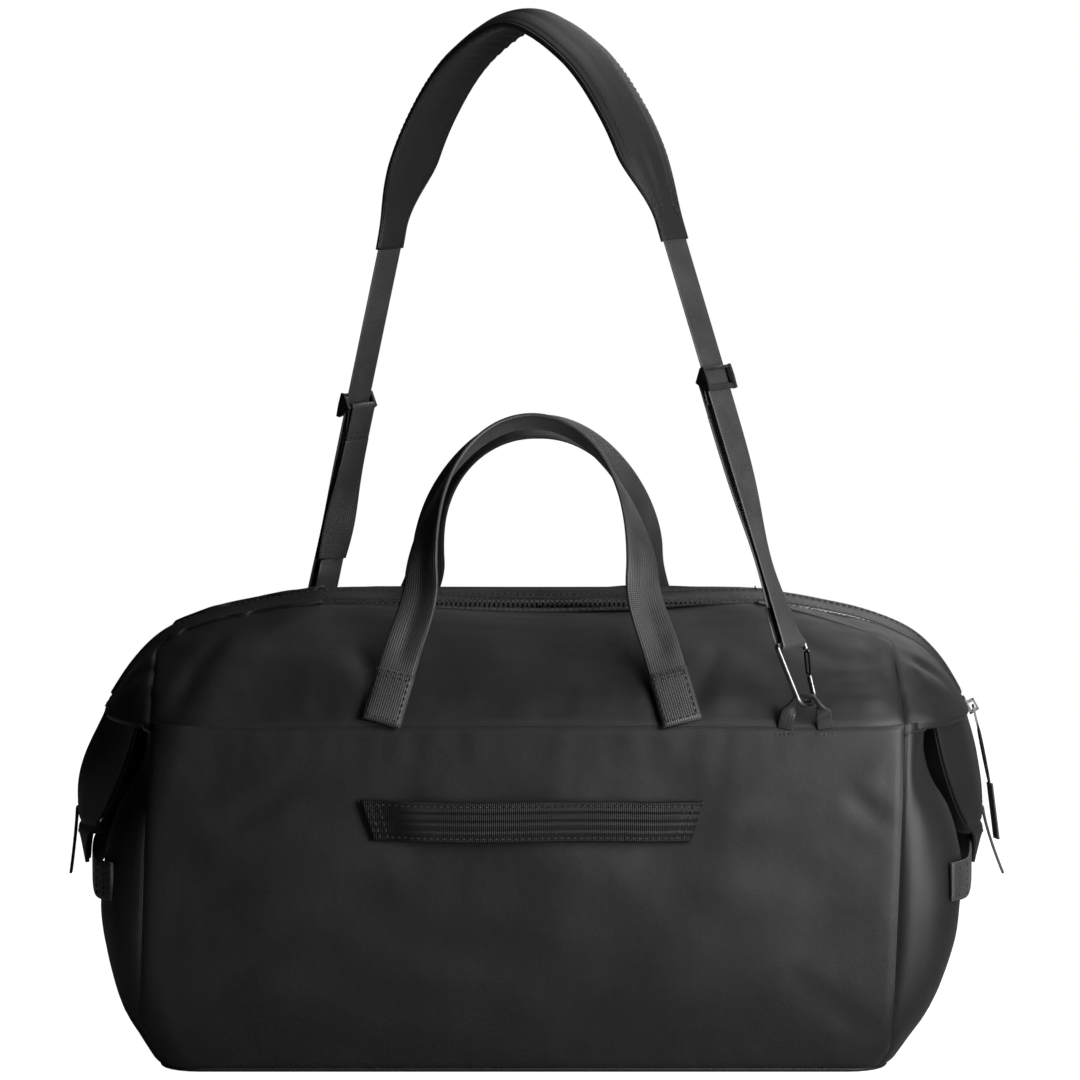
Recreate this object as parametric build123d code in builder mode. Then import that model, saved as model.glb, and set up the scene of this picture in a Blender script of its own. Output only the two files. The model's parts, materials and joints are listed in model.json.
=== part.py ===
"""Weekender bag: a soft black nylon travel bag with a zipped mouth, two webbing carry handles,
webbing grips on both ends, a band that slips over a trolley handle, and a clip-on shoulder strap.

Millimetres. +X runs along the bag, +Y towards its back, +Z up. The origin is the middle of the
flat underside.
"""

from build123d import *
from math import cos, radians, sin, sqrt
import os

# ---------------------------------------------------------------- driving dimensions
FABRIC = 2.5  # foam-backed shell
WEB = 25.0  # webbing width of handles, trolley band and end grips
WEB_T = 1.7  # webbing thickness
SEAM_Z = 228.0  # horizontal seam between lower and upper panels
CORNER_X = {1: 239.0, -1: 251.0}  # vertical corner seams, right and left
TOP_Z = 298.0  # flat middle of the zipped top
MOUTH_X = 150.0  # half length of the part of the top that folds open
MOUTH_Y = 33.0  # half width of the folding mouth
CHAIN_Y = 2.8  # half width of the zip chain
GAP = 0.3  # clearance between pieces of different bodies

# The zip runs over each end of the bag on an arc about this axis.
ARC_X = 160.0
ARC_Z = 153.8
ARC_R = TOP_Z - ARC_Z

# Handles: each stands on the seam and leans in over the bag.
HANDLE_Y = 121.0
HANDLE_Z = 229.5
HANDLE_FOOT_X = 97.5
HANDLE_HIP = (72.0, 95.0)  # half width and height where the legs meet the arch
HANDLE_TOP = 210.0
ANCHOR_TOP = 38.0
TWIST_FROM = 32.0  # the webbing turns edge-on between here and the top
LEAN_FRONT = 27.0
LEAN_BACK = 31.3

# Shoulder strap: it lies in an upright plane that runs from the front right to the back left.
STRAP_MID_X = 11.5
STRAP_DIR = (0.7833, -0.6216)
STRAP_WEB = 24.0
STRAP_WEB_T = 1.6
LOOP_Z = 249.0  # height of the two webbing loops that the strap clips to
LOOP_R = 2.4  # rolled webbing of a clip loop
HOOK_BAR = 35.4  # from the loop up to the hook's webbing bar
HOOK_WIRE = 2.0
RIGHT_LOOP_S = 210.0
LEFT_LOOP_S = -206.0
RIGHT_PAD_END = (100.0, 537.0)
LEFT_PAD_END = (-133.0, 520.0)
PAD_ROUTE = [(89, 577), (67, 619), (31, 659), (-18, 680), (-68, 656), (-105, 611), (-126, 565)]
PAD_WIDTH = 50.0
RIGHT_SLIDER = 214.0  # from the loop up the strap to the adjuster's middle bar
LEFT_SLIDER = 170.0

os.makedirs("parts", exist_ok=True)


def save(part, name):
    """Labels a finished piece and writes it as one STEP file."""
    part.label = name
    export_step(part, f"parts/{name}.step")


# ---------------------------------------------------------------- helpers
def arc_x(z):
    """Half length of the bag at height z, where the zip runs down its end."""
    return ARC_X + sqrt(ARC_R**2 - (z - ARC_Z) ** 2)


def hull(sections):
    """A solid lofted through level rounded rectangles: (height, half length, half depth, radius)."""
    with BuildPart() as body:
        for z, half_x, half_y, radius in sections:
            with BuildSketch(Plane.XY.offset(z)):
                RectangleRounded(2 * half_x, 2 * half_y, radius)
        loft()
    return body.part


def inset(sections, by, drop=0.0):
    """The same sections, moved in by the wall's thickness and down by drop."""
    return [(z - drop, x - by, y - by, max(r - by, 4.0)) for z, x, y, r in sections]


def skin(outer, inner):
    """The shell between two solids."""
    with BuildPart() as shell:
        add(outer)
        add(inner, mode=Mode.SUBTRACT)
    return shell.part


def block(low, high):
    """A box from its lowest and highest corners."""
    size = [b - a for a, b in zip(low, high)]
    middle = [(a + b) / 2 for a, b in zip(low, high)]
    with BuildPart() as box:
        with Locations(tuple(middle)):
            Box(*size)
    return box.part


def inside(shape, low, high):
    """What of a shape lies in a box."""
    with BuildPart() as piece:
        add(shape)
        add(block(low, high), mode=Mode.INTERSECT)
    return piece.part


def band(stations, width, thickness):
    """A flat strap through stations of (point, width direction, direction of travel)."""
    with BuildPart() as strap:
        for point, across, along in stations:
            with BuildSketch(Plane(origin=point, x_dir=across, z_dir=along)):
                Rectangle(width, thickness)
        loft(ruled=True)
    return strap.part


# ---------------------------------------------------------------- body: sections of the bag
LOWER = [
    (0.0, 237.0, 115.0, 26.0),
    (35.0, 260.0, 122.0, 36.0),
    (100.0, 279.0, 126.0, 52.0),
    (160.0, 276.0, 124.0, 56.0),
    (SEAM_Z, 258.0, 118.0, 50.0),
]
UPPER = [
    (SEAM_Z, arc_x(SEAM_Z), 118.0, 72.0),
    (252.0, arc_x(252.0), 104.0, 70.0),
    (276.0, arc_x(276.0), 80.0, 60.0),
    (288.6, arc_x(288.6), 62.0, 46.0),
    (295.0, arc_x(295.0), 50.0, 34.0),
    (TOP_Z, arc_x(TOP_Z), 40.0, 20.0),
]
END = 400.0  # well outside the bag, for cutting boxes

lower_solid = hull(LOWER)
lower_skin = skin(lower_solid, hull(inset(LOWER, FABRIC)))
upper_solid = hull(UPPER)
upper_inner = hull(inset(UPPER, 2.2, drop=1.8))
upper_skin = skin(upper_solid, upper_inner)

# ---------------------------------------------------------------- lower panels and base
base_panel = inside(lower_solid, (-END, -END, -1), (END, END, FABRIC))
save(base_panel, "base_panel")

front_low, front_high = (-CORNER_X[-1], -END, FABRIC), (CORNER_X[1], 0, SEAM_Z)
save(inside(lower_skin, front_low, front_high), "front_lower_panel")
back_low, back_high = (-CORNER_X[-1], 0, FABRIC), (CORNER_X[1], END, SEAM_Z)
save(inside(lower_skin, back_low, back_high), "back_lower_panel")

EAVE = 2.5  # thickness of the fold under the overhanging end of the upper panels
for side, name in ((1, "right"), (-1, "left")):
    low_x, high_x = sorted((side * CORNER_X[side], side * END))
    low, high = (low_x, -END, FABRIC), (high_x, END, SEAM_Z - EAVE)
    save(inside(lower_skin, low, high), f"end_panel_{name}")

with BuildPart() as base_board:
    with BuildSketch(Plane.XY.offset(FABRIC + GAP)):
        RectangleRounded(2 * 226, 2 * 106, 18)
    extrude(amount=3.0)
save(base_board.part, "base_board")

# ---------------------------------------------------------------- lining
LINING = [(z, x, y, r) for z, x, y, r in inset(LOWER, FABRIC + 0.7)]
lining_floor = FABRIC + 2 * GAP + 3.0
lining_outer = inside(hull(LINING), (-END, -END, lining_floor), (END, END, SEAM_Z - EAVE - 1))
lining_inner = inside(
    hull(inset(LINING, 0.8)), (-END, -END, lining_floor + 0.8), (END, END, SEAM_Z + 5)
)
save(skin(lining_outer, lining_inner), "lining")

# ---------------------------------------------------------------- upper panels
mid_low, mid_high = (-CORNER_X[-1], -END, SEAM_Z), (CORNER_X[1], -MOUTH_Y, END)
save(inside(upper_skin, mid_low, mid_high), "front_upper_panel")
mid_low, mid_high = (-CORNER_X[-1], MOUTH_Y, SEAM_Z), (CORNER_X[1], END, END)
save(inside(upper_skin, mid_low, mid_high), "back_upper_panel")

for side, name in ((1, "right"), (-1, "left")):
    low_x, high_x = sorted((side * CORNER_X[side], side * END))
    with BuildPart() as fold:
        # Underside of the overhang, from the recessed end panel out to the zip's edge.
        with BuildSketch(Plane.XY.offset(SEAM_Z - EAVE)):
            RectangleRounded(2 * arc_x(SEAM_Z), 2 * 118.0, 72.0)
            RectangleRounded(2 * 252.0, 2 * 112.0, 44.0, mode=Mode.SUBTRACT)
        extrude(amount=EAVE)
        add(block((low_x, -END, 0), (high_x, END, END)), mode=Mode.INTERSECT)
    with BuildPart() as gusset:
        add(inside(upper_skin, (low_x, -END, SEAM_Z), (high_x, END, END)))
        add(block((-END, -MOUTH_Y, 0), (END, MOUTH_Y, END)), mode=Mode.SUBTRACT)
        add(fold.part)
    save(gusset.part, f"end_gusset_{name}")

# ---------------------------------------------------------------- zip: tapes and chain
for facing, name in ((-1, "front"), (1, "back")):
    flap_low, flap_high = sorted((facing * (MOUTH_Y - GAP), facing * CHAIN_Y))
    flap_x = MOUTH_X - GAP
    flap = inside(upper_skin, (-flap_x, flap_low, 0), (flap_x, flap_high, END))
    save(flap, f"mouth_flap_{name}")
    teeth_low, teeth_high = sorted((facing * CHAIN_Y, facing * GAP / 2))
    teeth = block((-flap_x, teeth_low, TOP_Z - 2.8), (flap_x, teeth_high, TOP_Z + 0.2))
    save(teeth, f"mouth_teeth_{name}")
    low_y, high_y = sorted((facing * MOUTH_Y, facing * CHAIN_Y))
    for side, end_name in ((1, "right"), (-1, "left")):
        low_x, high_x = sorted((side * MOUTH_X, side * END))
        tape = inside(upper_skin, (low_x, low_y, 0), (high_x, high_y, END))
        save(tape, f"zip_tape_{name}_{end_name}")

for side, name in ((1, "right"), (-1, "left")):
    low_x, high_x = sorted((side * MOUTH_X, side * END))
    low, high = (low_x, -CHAIN_Y + 0.1, 0), (high_x, CHAIN_Y - 0.1, END)
    save(inside(upper_skin, low, high), f"zip_chain_{name}")

# ---------------------------------------------------------------- zip: hood and tail at each end
TAIL = [  # height, middle x, edge x, half width, from the overhang down to the tip
    (SEAM_Z - EAVE - 0.2, 284.0, 262.0, 86.0),
    (195.0, 294.0, 271.0, 72.0),
    (164.0, 299.0, 281.0, 52.0),
    (136.0, 298.5, 294.0, 24.0),
    (120.0, 296.0, 295.0, 9.0),
]
TAIL_T = 3.0
for side, name in ((1, "right"), (-1, "left")):
    with BuildPart() as tail:
        for z, mid_x, edge_x, half_w in TAIL:
            with BuildSketch(Plane.XY.offset(z)):
                with BuildLine():
                    outer = ThreePointArc(
                        (side * edge_x, -half_w), (side * mid_x, 0), (side * edge_x, half_w)
                    )
                    inner = ThreePointArc(
                        (side * (edge_x - TAIL_T), -half_w + 1),
                        (side * (mid_x - TAIL_T), 0),
                        (side * (edge_x - TAIL_T), half_w - 1),
                    )
                    Line(outer @ 0, inner @ 0)
                    Line(outer @ 1, inner @ 1)
                make_face()
        loft()
    save(tail.part, f"zip_tail_{name}")

# A short webbing tab at each end of the zip, to hold while pulling it.
TAB_Y = 26.0
for side, name in ((1, "right"), (-1, "left")):
    with BuildPart() as grip_tab:
        with BuildSketch(Plane.XZ.offset(-TAB_Y)):
            with BuildLine():
                Polyline(
                    (side * 299.9, 153.0),
                    (side * 301.6, 153.0),
                    (side * 309.0, 109.0),
                    (side * 307.3, 109.0),
                    close=True,
                )
            make_face()
        extrude(amount=14.0)
    save(grip_tab.part, f"grip_tab_{name}")

# ---------------------------------------------------------------- zip slider and its pull
SLIDER_ANGLE = 62.0  # from straight up, about the end arc's axis
SLIDER_LIFT = 1.6  # above the zip
PLATE = 2.0  # the slider's top plate
BRIDGE = 3.6  # clear height under the bridge that holds the pull
PULL_LEAN = 13.9  # the pull stands off the bag's end by this much
PULL_LENGTH = 92.0
RING = (16.0, 6.6, 1.3)  # length, width and wire of the pull's ring
slider_radius = ARC_R + SLIDER_LIFT


def on_arc(radius, angle):
    """A point at that radius and angle from straight up, on the bag's right end."""
    return (ARC_X + radius * sin(radians(angle)), 0, ARC_Z + radius * cos(radians(angle)))


outward = (sin(radians(SLIDER_ANGLE)), 0, cos(radians(SLIDER_ANGLE)))
slider_plane = Plane(origin=on_arc(slider_radius, SLIDER_ANGLE), x_dir=(0, 1, 0), z_dir=outward)
nose = 1 if slider_plane.y_dir.Z < 0 else -1  # the way down the zip
with BuildPart() as zip_slider:
    with BuildSketch(slider_plane):
        with Locations((0, -2.0 * nose)):
            RectangleRounded(9.0, 13.0, 2.5)
    extrude(amount=PLATE)
    with BuildSketch(slider_plane.offset(PLATE)):
        with Locations((0, -3.4), (0, 3.4)):
            Rectangle(2.6, 1.8)
    extrude(amount=BRIDGE)
    with BuildSketch(slider_plane.offset(PLATE + BRIDGE)):
        RectangleRounded(2.6, 8.6, 1.0)
    extrude(amount=1.3)
save(zip_slider.part, "zip_slider")

# The pull hangs from the bridge, clear of the zip's tail: a ring, a doubled cord and a tab.
pull_top = Vector(*on_arc(slider_radius + PLATE + 0.65 * BRIDGE, SLIDER_ANGLE))
pull_dir = Vector(sin(radians(PULL_LEAN)), 0, -cos(radians(PULL_LEAN)))
pull_plane = Plane(origin=pull_top, x_dir=(0, 1, 0), z_dir=Vector(0, 1, 0).cross(pull_dir))
ring_length, ring_width, ring_wire = RING
ring_middle = (ring_length - ring_wire) / 2
with BuildPart() as zip_pull:
    with BuildSketch(pull_plane):
        with Locations((0, ring_middle)):
            SlotOverall(ring_length, ring_width, rotation=90)
            SlotOverall(
                ring_length - 2 * ring_wire, ring_width - 2 * ring_wire, rotation=90,
                mode=Mode.SUBTRACT,
            )
    extrude(amount=0.7, both=True)
save(zip_pull.part, "zip_pull")

CORD = 1.2
CORD_TOP, CORD_END = ring_length - ring_wire / 2 + 0.1, 54.0
cord_middle = (CORD_TOP + CORD_END) / 2
with BuildPart() as pull_cord:
    with BuildSketch(pull_plane):
        with Locations((0, cord_middle)):
            SlotOverall(CORD_END - CORD_TOP, 5.0, rotation=90)
            SlotOverall(CORD_END - CORD_TOP - 2 * CORD, 5.0 - 2 * CORD, rotation=90,
                        mode=Mode.SUBTRACT)
    extrude(amount=CORD / 2, both=True)
save(pull_cord.part, "pull_cord")

with BuildPart() as pull_tab:
    with BuildSketch(pull_plane):
        with Locations((0, (CORD_END + PULL_LENGTH) / 2)):
            RectangleRounded(11.0, PULL_LENGTH - CORD_END, 1.5)
    extrude(amount=0.9, both=True)
save(pull_tab.part, "pull_tab")

# ---------------------------------------------------------------- webbing grip across each end
GRIP_Z = (112.0, 138.0)
GRIP_BOW = 9.0  # how far the middle stands off the end panel
GRIP_T = 2.0
GRIP_CORNER = (224.6, 72.0, 54.8)  # middle and radius of the bag's rounded corner there
GRIP_END_ANGLE = 40.0


def grip_stations(side, count=6):
    """Round one corner, straight across the end and round the other corner, bowed outwards."""
    corner_x, corner_y, radius = GRIP_CORNER
    outline = []
    for i in range(count + 1):
        angle = radians(-GRIP_END_ANGLE * (1 - i / count))
        outline.append((corner_x + radius * cos(angle), -corner_y + radius * sin(angle), angle))
    outline += [(corner_x + radius, y, 0.0) for y in (-36.0, 0.0, 36.0)]
    outline += [(x, -y, -angle) for x, y, angle in reversed(outline[: count + 1])]
    reach = -outline[0][1]
    found = []
    for x, y, angle in outline:
        bow = GRIP_T / 2 + GRIP_BOW * (1 - (y / reach) ** 2)
        point = Vector(side * (x + bow * cos(angle)), y + bow * sin(angle), sum(GRIP_Z) / 2)
        found.append((point, Vector(0, 0, 1), Vector(-side * sin(angle), cos(angle), 0)))
    return found


for side, name in ((1, "right"), (-1, "left")):
    save(band(grip_stations(side), GRIP_Z[1] - GRIP_Z[0], GRIP_T), f"end_grip_{name}")

# ---------------------------------------------------------------- trolley band on the front
BAND_Z = (153.0, 180.0)
BAND_TOP_X, BAND_FOOT_X = 111.0, 102.0
with BuildPart() as trolley_band:
    with BuildSketch(Plane.XY.offset(BAND_Z[0] - 5)):
        with BuildLine():
            Polyline(
                (-115, -126.4), (-98, -126.4), (-84, -131.4), (84, -131.4), (98, -126.4),
                (115, -126.4), (115, -128.1), (98.3, -128.1), (84.3, -133.1), (-84.3, -133.1),
                (-98.3, -128.1), (-115, -128.1), close=True,
            )
        make_face()
    extrude(amount=BAND_Z[1] - BAND_Z[0] + 10)
    # Both ends are cut to a slant.
    with BuildSketch(Plane.XZ.offset(100)):
        Polygon(
            (-BAND_TOP_X, BAND_Z[1]), (BAND_TOP_X, BAND_Z[1]),
            (BAND_FOOT_X, BAND_Z[0]), (-BAND_FOOT_X, BAND_Z[0]),
            align=None,
        )
    extrude(amount=60, mode=Mode.INTERSECT)
save(trolley_band.part, "trolley_band")


# ---------------------------------------------------------------- carry handles
def handle_route(start, count=23):
    """Points (x, height up the handle's plane), from one leg over the arch to the other."""
    hip_x, hip_w = HANDLE_HIP
    slope = (HANDLE_FOOT_X - hip_x) / hip_w
    leg = [(HANDLE_FOOT_X - slope * w, w) for w in (start, 0.45 * hip_w + 0.55 * start)]
    arch = []
    for i in range(count):
        angle = radians(180 * i / (count - 1))
        arch.append((hip_x * cos(angle), hip_w + (HANDLE_TOP - hip_w) * sin(angle)))
    return leg + arch + [(-x, w) for x, w in reversed(leg)]


def handle_stations(route, facing, lean):
    """Turns the webbing from flat on the panel, at the legs, to edge-on over the arch."""
    tilt = radians(lean)
    up = Vector(0, -facing * sin(tilt), cos(tilt))
    away = Vector(0, facing * cos(tilt), sin(tilt))
    found = []
    for i, (x, w) in enumerate(route):
        before, after = route[max(i - 1, 0)], route[min(i + 1, len(route) - 1)]
        along = (Vector(after[0] - before[0], 0, 0) + up * (after[1] - before[1])).normalized()
        point = Vector(x, facing * HANDLE_Y, HANDLE_Z) + up * w
        share = min(max((w - TWIST_FROM) / (HANDLE_TOP - TWIST_FROM), 0.0), 1.0)
        turn = radians(90) * share * share * (3 - 2 * share)
        flat = away.cross(along)
        across = flat * cos(turn) + away * sin(turn)
        found.append((point, across.normalized(), along))
    return found


for facing, lean, name in ((-1, LEAN_FRONT, "front"), (1, LEAN_BACK, "back")):
    stations = handle_stations(handle_route(ANCHOR_TOP), facing, lean)
    save(band(stations, WEB, 2 * WEB_T), f"handle_{name}")
    hip_x, hip_w = HANDLE_HIP
    slope = (HANDLE_FOOT_X - hip_x) / hip_w
    for side, side_name in ((1, "right"), (-1, "left")):
        foot = [(side * (HANDLE_FOOT_X - slope * w), w) for w in (1.0, ANCHOR_TOP)]
        save(
            band(handle_stations(foot, facing, lean), WEB + 0.6, WEB_T),
            f"handle_anchor_{name}_{side_name}",
        )


# ---------------------------------------------------------------- shoulder strap
ALONG = Vector(STRAP_DIR[0], STRAP_DIR[1], 0).normalized()  # from back left to front right
ACROSS = Vector(-ALONG.Y, ALONG.X, 0)  # across the strap's width
UP = Vector(0, 0, 1)


def on_strap(s, z):
    """A point in the strap's plane."""
    return Vector(STRAP_MID_X, 0, 0) + ALONG * s + UP * z


class Leg:
    """One straight leg of the strap, from its clip loop up to the shoulder pad."""

    def __init__(self, loop_s, pad_end):
        self.foot = on_strap(loop_s, LOOP_Z)
        self.up = (on_strap(*pad_end) - self.foot).normalized()
        self.length = (on_strap(*pad_end) - self.foot).length
        self.out = ACROSS.cross(self.up) * (1 if loop_s > 0 else -1)
        if self.out.dot(ALONG * loop_s) < 0:
            self.out = self.out * -1

    def at(self, up, out=0.0, across=0.0):
        """A point up the leg, off it to its outer face, and across its width."""
        return self.foot + self.up * up + self.out * out + ACROSS * across


WEB_OUT = 4.0  # main webbing, outside the adjuster's middle bar
RETURN_OUT = -2.1  # returning webbing, inside it
HOOK_BAR_OUT = (WEB_OUT + RETURN_OUT) / 2
WRAP_R = (WEB_OUT - RETURN_OUT) / 2  # middle radius of the webbing round the hook's bar
LEGS = {
    "right": (Leg(RIGHT_LOOP_S, RIGHT_PAD_END), RIGHT_SLIDER),
    "left": (Leg(LEFT_LOOP_S, LEFT_PAD_END), LEFT_SLIDER),
}

HOOK_TOP = HOOK_BAR  # the bar's height above the loop
HOOK_HALF = 14.6  # half width at the bar, between wire centres
HOOK_FOOT = 7.6  # radius of the bend round the loop, at the wire's centre
HOOK_BEND_Z = HOOK_FOOT - LOOP_R - 0.4 - HOOK_WIRE  # the bend's centre above the loop's centre
NOSE_Z = 12.5
GATE_TOP = HOOK_TOP - 6.5
TAIL_LENGTH = 24.0  # sewn end of the webbing, below the adjuster
BAR_R = 1.2  # the adjuster's middle bar
LOOP_OUT = 2.9  # outside of the webbing round that bar
CHEEK = 8.2  # half the adjuster's length along the webbing

for name, (leg, slider_at) in LEGS.items():
    # Hook: a bent rod in the plane of the webbing's width.
    hook_plane = Plane(origin=leg.at(0, HOOK_BAR_OUT), x_dir=ACROSS, z_dir=leg.out)
    flip = 1 if hook_plane.y_dir.dot(leg.up) > 0 else -1
    with BuildPart() as hook:
        with BuildLine(hook_plane):
            rod = FilletPolyline(
                (HOOK_HALF, flip * (HOOK_TOP - 5.2)),
                (HOOK_HALF, flip * HOOK_TOP),
                (-HOOK_HALF, flip * HOOK_TOP),
                (-HOOK_FOOT - 0.8, flip * (HOOK_BEND_Z - HOOK_FOOT)),
                (HOOK_FOOT + 0.8, flip * (HOOK_BEND_Z - HOOK_FOOT)),
                (HOOK_FOOT + 2.4, flip * NOSE_Z),
                radius=[2.0, 2.0, 7.0, 7.0],
            )
        with BuildSketch(Plane(origin=rod @ 0, z_dir=rod % 0)):
            Circle(HOOK_WIRE)
        sweep()
    save(hook.part, f"hook_{name}")

    # Gate: a wire ring that closes the hook's open side and springs outwards.
    gate_foot = hook_plane.from_local_coords(Vector(HOOK_FOOT + 2.6, flip * (NOSE_Z + 1.2), 0))
    gate_head = hook_plane.from_local_coords(Vector(HOOK_HALF + 0.1, flip * GATE_TOP, 0))
    rise = (gate_head - gate_foot).normalized()
    middle = (gate_head + gate_foot) * 0.5
    gate_plane = Plane(origin=middle, x_dir=rise, z_dir=leg.out.cross(rise))
    gate_length = (gate_head - gate_foot).length
    with BuildPart() as gate:
        with BuildSketch(gate_plane):
            SlotOverall(gate_length + 1.0, 4.6)
            SlotOverall(gate_length - 2.0, 1.6, mode=Mode.SUBTRACT)
        extrude(amount=0.75, both=True)
    save(gate.part, f"hook_gate_{name}")

    # Webbing: up from the hook's bar to the pad, through the adjuster.
    web_stations = [
        (leg.at(HOOK_TOP, WEB_OUT), ACROSS, leg.up),
        (leg.at(leg.length, WEB_OUT), ACROSS, leg.up),
    ]
    main = band(web_stations, STRAP_WEB, STRAP_WEB_T)
    wrap_plane = Plane(
        origin=leg.at(HOOK_TOP, HOOK_BAR_OUT, -STRAP_WEB / 2), x_dir=leg.out, z_dir=ACROSS
    )
    with BuildPart() as webbing:
        with BuildSketch(wrap_plane):
            Circle(WRAP_R + STRAP_WEB_T / 2)
            Circle(WRAP_R - STRAP_WEB_T / 2, mode=Mode.SUBTRACT)
        extrude(amount=STRAP_WEB)
        cutter = Plane(origin=leg.at(HOOK_TOP), x_dir=ACROSS, z_dir=leg.up)
        split(bisect_by=cutter, keep=Keep.BOTTOM)
        add(main)
    save(webbing.part, f"strap_webbing_{name}")

    # The webbing's end comes back up inside and is sewn round the adjuster's middle bar.
    return_stations = [
        (leg.at(HOOK_TOP + GAP, RETURN_OUT), ACROSS, leg.up),
        (leg.at(slider_at - TAIL_LENGTH - GAP, RETURN_OUT), ACROSS, leg.up),
    ]
    save(band(return_stations, STRAP_WEB, STRAP_WEB_T), f"strap_return_{name}")

    ring_plane = Plane(
        origin=leg.at(slider_at, 0, -STRAP_WEB / 2), x_dir=leg.out, z_dir=ACROSS
    )
    with BuildPart() as end_loop:
        with BuildSketch(ring_plane):
            Circle(LOOP_OUT)
            Circle(LOOP_OUT - STRAP_WEB_T + 0.1, mode=Mode.SUBTRACT)
        extrude(amount=STRAP_WEB)
        tail_stations = [
            (leg.at(slider_at, RETURN_OUT), ACROSS, leg.up),
            (leg.at(slider_at - TAIL_LENGTH, RETURN_OUT), ACROSS, leg.up),
        ]
        add(band(tail_stations, STRAP_WEB, STRAP_WEB_T))
        with BuildSketch(ring_plane):
            Circle(BAR_R + 0.1)
        extrude(amount=STRAP_WEB, mode=Mode.SUBTRACT)
    save(end_loop.part, f"strap_end_loop_{name}")

    # Adjuster: two bowed side cheeks, a middle bar inside the webbing and two bars outside it.
    half = STRAP_WEB / 2 + 0.9
    with BuildPart() as adjuster:
        for edge in (-1, 1):
            low = half if edge > 0 else -half - 2.2
            cheek_plane = Plane(
                origin=leg.at(slider_at, 0, low), x_dir=leg.out, z_dir=ACROSS
            )
            lift = 1 if cheek_plane.y_dir.dot(leg.up) > 0 else -1
            with BuildSketch(cheek_plane):
                with BuildLine():
                    Polyline(
                        (-1.6, 0), (5.2, lift * CHEEK), (7.8, lift * CHEEK), (8.2, 0),
                        (7.8, -lift * CHEEK), (5.2, -lift * CHEEK), close=True,
                    )
                make_face()
            extrude(amount=2.2)
        with BuildSketch(Plane(origin=leg.at(slider_at, 0, -half), x_dir=leg.out, z_dir=ACROSS)):
            Circle(BAR_R)
        extrude(amount=2 * half)
        for along_leg, depth in ((6.8, 2.4), (-6.2, 3.8)):
            bar_plane = Plane(
                origin=leg.at(slider_at + along_leg, 6.5, -half), x_dir=leg.out, z_dir=ACROSS
            )
            with BuildSketch(bar_plane):
                RectangleRounded(2.2, depth, 0.9)
            extrude(amount=2 * half)
    save(adjuster.part, f"strap_adjuster_{name}")

# Shoulder pad: widest over the shoulder, narrowing to the webbing at both ends.
right_leg, left_leg = LEGS["right"][0], LEGS["left"][0]
pad_points = [right_leg.at(right_leg.length + 0.3, WEB_OUT)]
pad_points += [on_strap(*point) for point in PAD_ROUTE]
pad_points += [left_leg.at(left_leg.length + 0.3, WEB_OUT)]
with BuildLine() as pad_line:
    pad_curve = Spline(*pad_points, tangents=(right_leg.up, -left_leg.up))
PAD_STATIONS = 25
with BuildPart() as shoulder_pad:
    for i in range(PAD_STATIONS):
        t = i / (PAD_STATIONS - 1)
        swell = min(1.0, sin(radians(180 * t)) * 2.2)
        with BuildSketch(Plane(origin=pad_curve @ t, x_dir=ACROSS, z_dir=pad_curve % t)):
            RectangleRounded(
                STRAP_WEB + 3 + (PAD_WIDTH - STRAP_WEB - 3) * swell, 5.0 + 5.0 * swell, 2.2
            )
    loft(ruled=True)
save(shoulder_pad.part, "shoulder_pad")

# ---------------------------------------------------------------- clip loops on the bag
for name, (leg, _) in LEGS.items():
    facing = -1 if name == "right" else 1
    top = leg.foot + leg.out * HOOK_BAR_OUT
    near = ALONG * 8.5
    foot_y = facing * 122.0
    foot_z = SEAM_Z + 1.5
    with BuildPart() as clip_loop:
        with BuildLine():
            route = FilletPolyline(
                (top.X - 11.0, foot_y, foot_z),
                tuple(top - near * 1.35 - UP * 5.0),
                tuple(top - near * 0.7 + UP * 0.0),
                tuple(top + near * 0.7 + UP * 0.0),
                tuple(top + near * 1.35 - UP * 5.0),
                (top.X + 11.0, foot_y, foot_z),
                radius=3.2,
            )
        with BuildSketch(Plane(origin=route @ 0, z_dir=route % 0)):
            Circle(LOOP_R)
        sweep()
        add(block((-END, -END, SEAM_Z), (END, END, END)), mode=Mode.INTERSECT)
    save(clip_loop.part, f"clip_loop_{name}")
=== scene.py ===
import json
from math import cos, pi, radians, sin, sqrt

import bpy
import numpy as np
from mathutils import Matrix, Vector, noise


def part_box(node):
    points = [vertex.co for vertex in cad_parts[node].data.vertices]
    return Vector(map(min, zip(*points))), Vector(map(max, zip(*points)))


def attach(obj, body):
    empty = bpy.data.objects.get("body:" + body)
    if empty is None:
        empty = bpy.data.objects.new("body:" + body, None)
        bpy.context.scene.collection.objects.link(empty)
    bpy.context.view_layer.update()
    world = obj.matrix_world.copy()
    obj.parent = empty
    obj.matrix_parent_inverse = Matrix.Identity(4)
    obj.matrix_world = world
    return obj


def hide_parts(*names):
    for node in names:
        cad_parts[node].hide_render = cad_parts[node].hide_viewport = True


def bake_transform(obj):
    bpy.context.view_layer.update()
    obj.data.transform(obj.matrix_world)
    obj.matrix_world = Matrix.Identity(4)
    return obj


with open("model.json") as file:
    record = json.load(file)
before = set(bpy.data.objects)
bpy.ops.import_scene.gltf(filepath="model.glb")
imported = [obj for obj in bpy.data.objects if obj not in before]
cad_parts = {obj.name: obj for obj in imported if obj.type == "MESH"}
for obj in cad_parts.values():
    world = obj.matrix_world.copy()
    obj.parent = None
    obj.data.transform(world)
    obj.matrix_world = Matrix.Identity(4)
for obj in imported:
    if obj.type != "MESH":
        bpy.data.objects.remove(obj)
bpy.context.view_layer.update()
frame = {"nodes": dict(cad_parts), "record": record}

MM = 0.001  # every length below is in millimetres until a mesh is made

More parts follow.
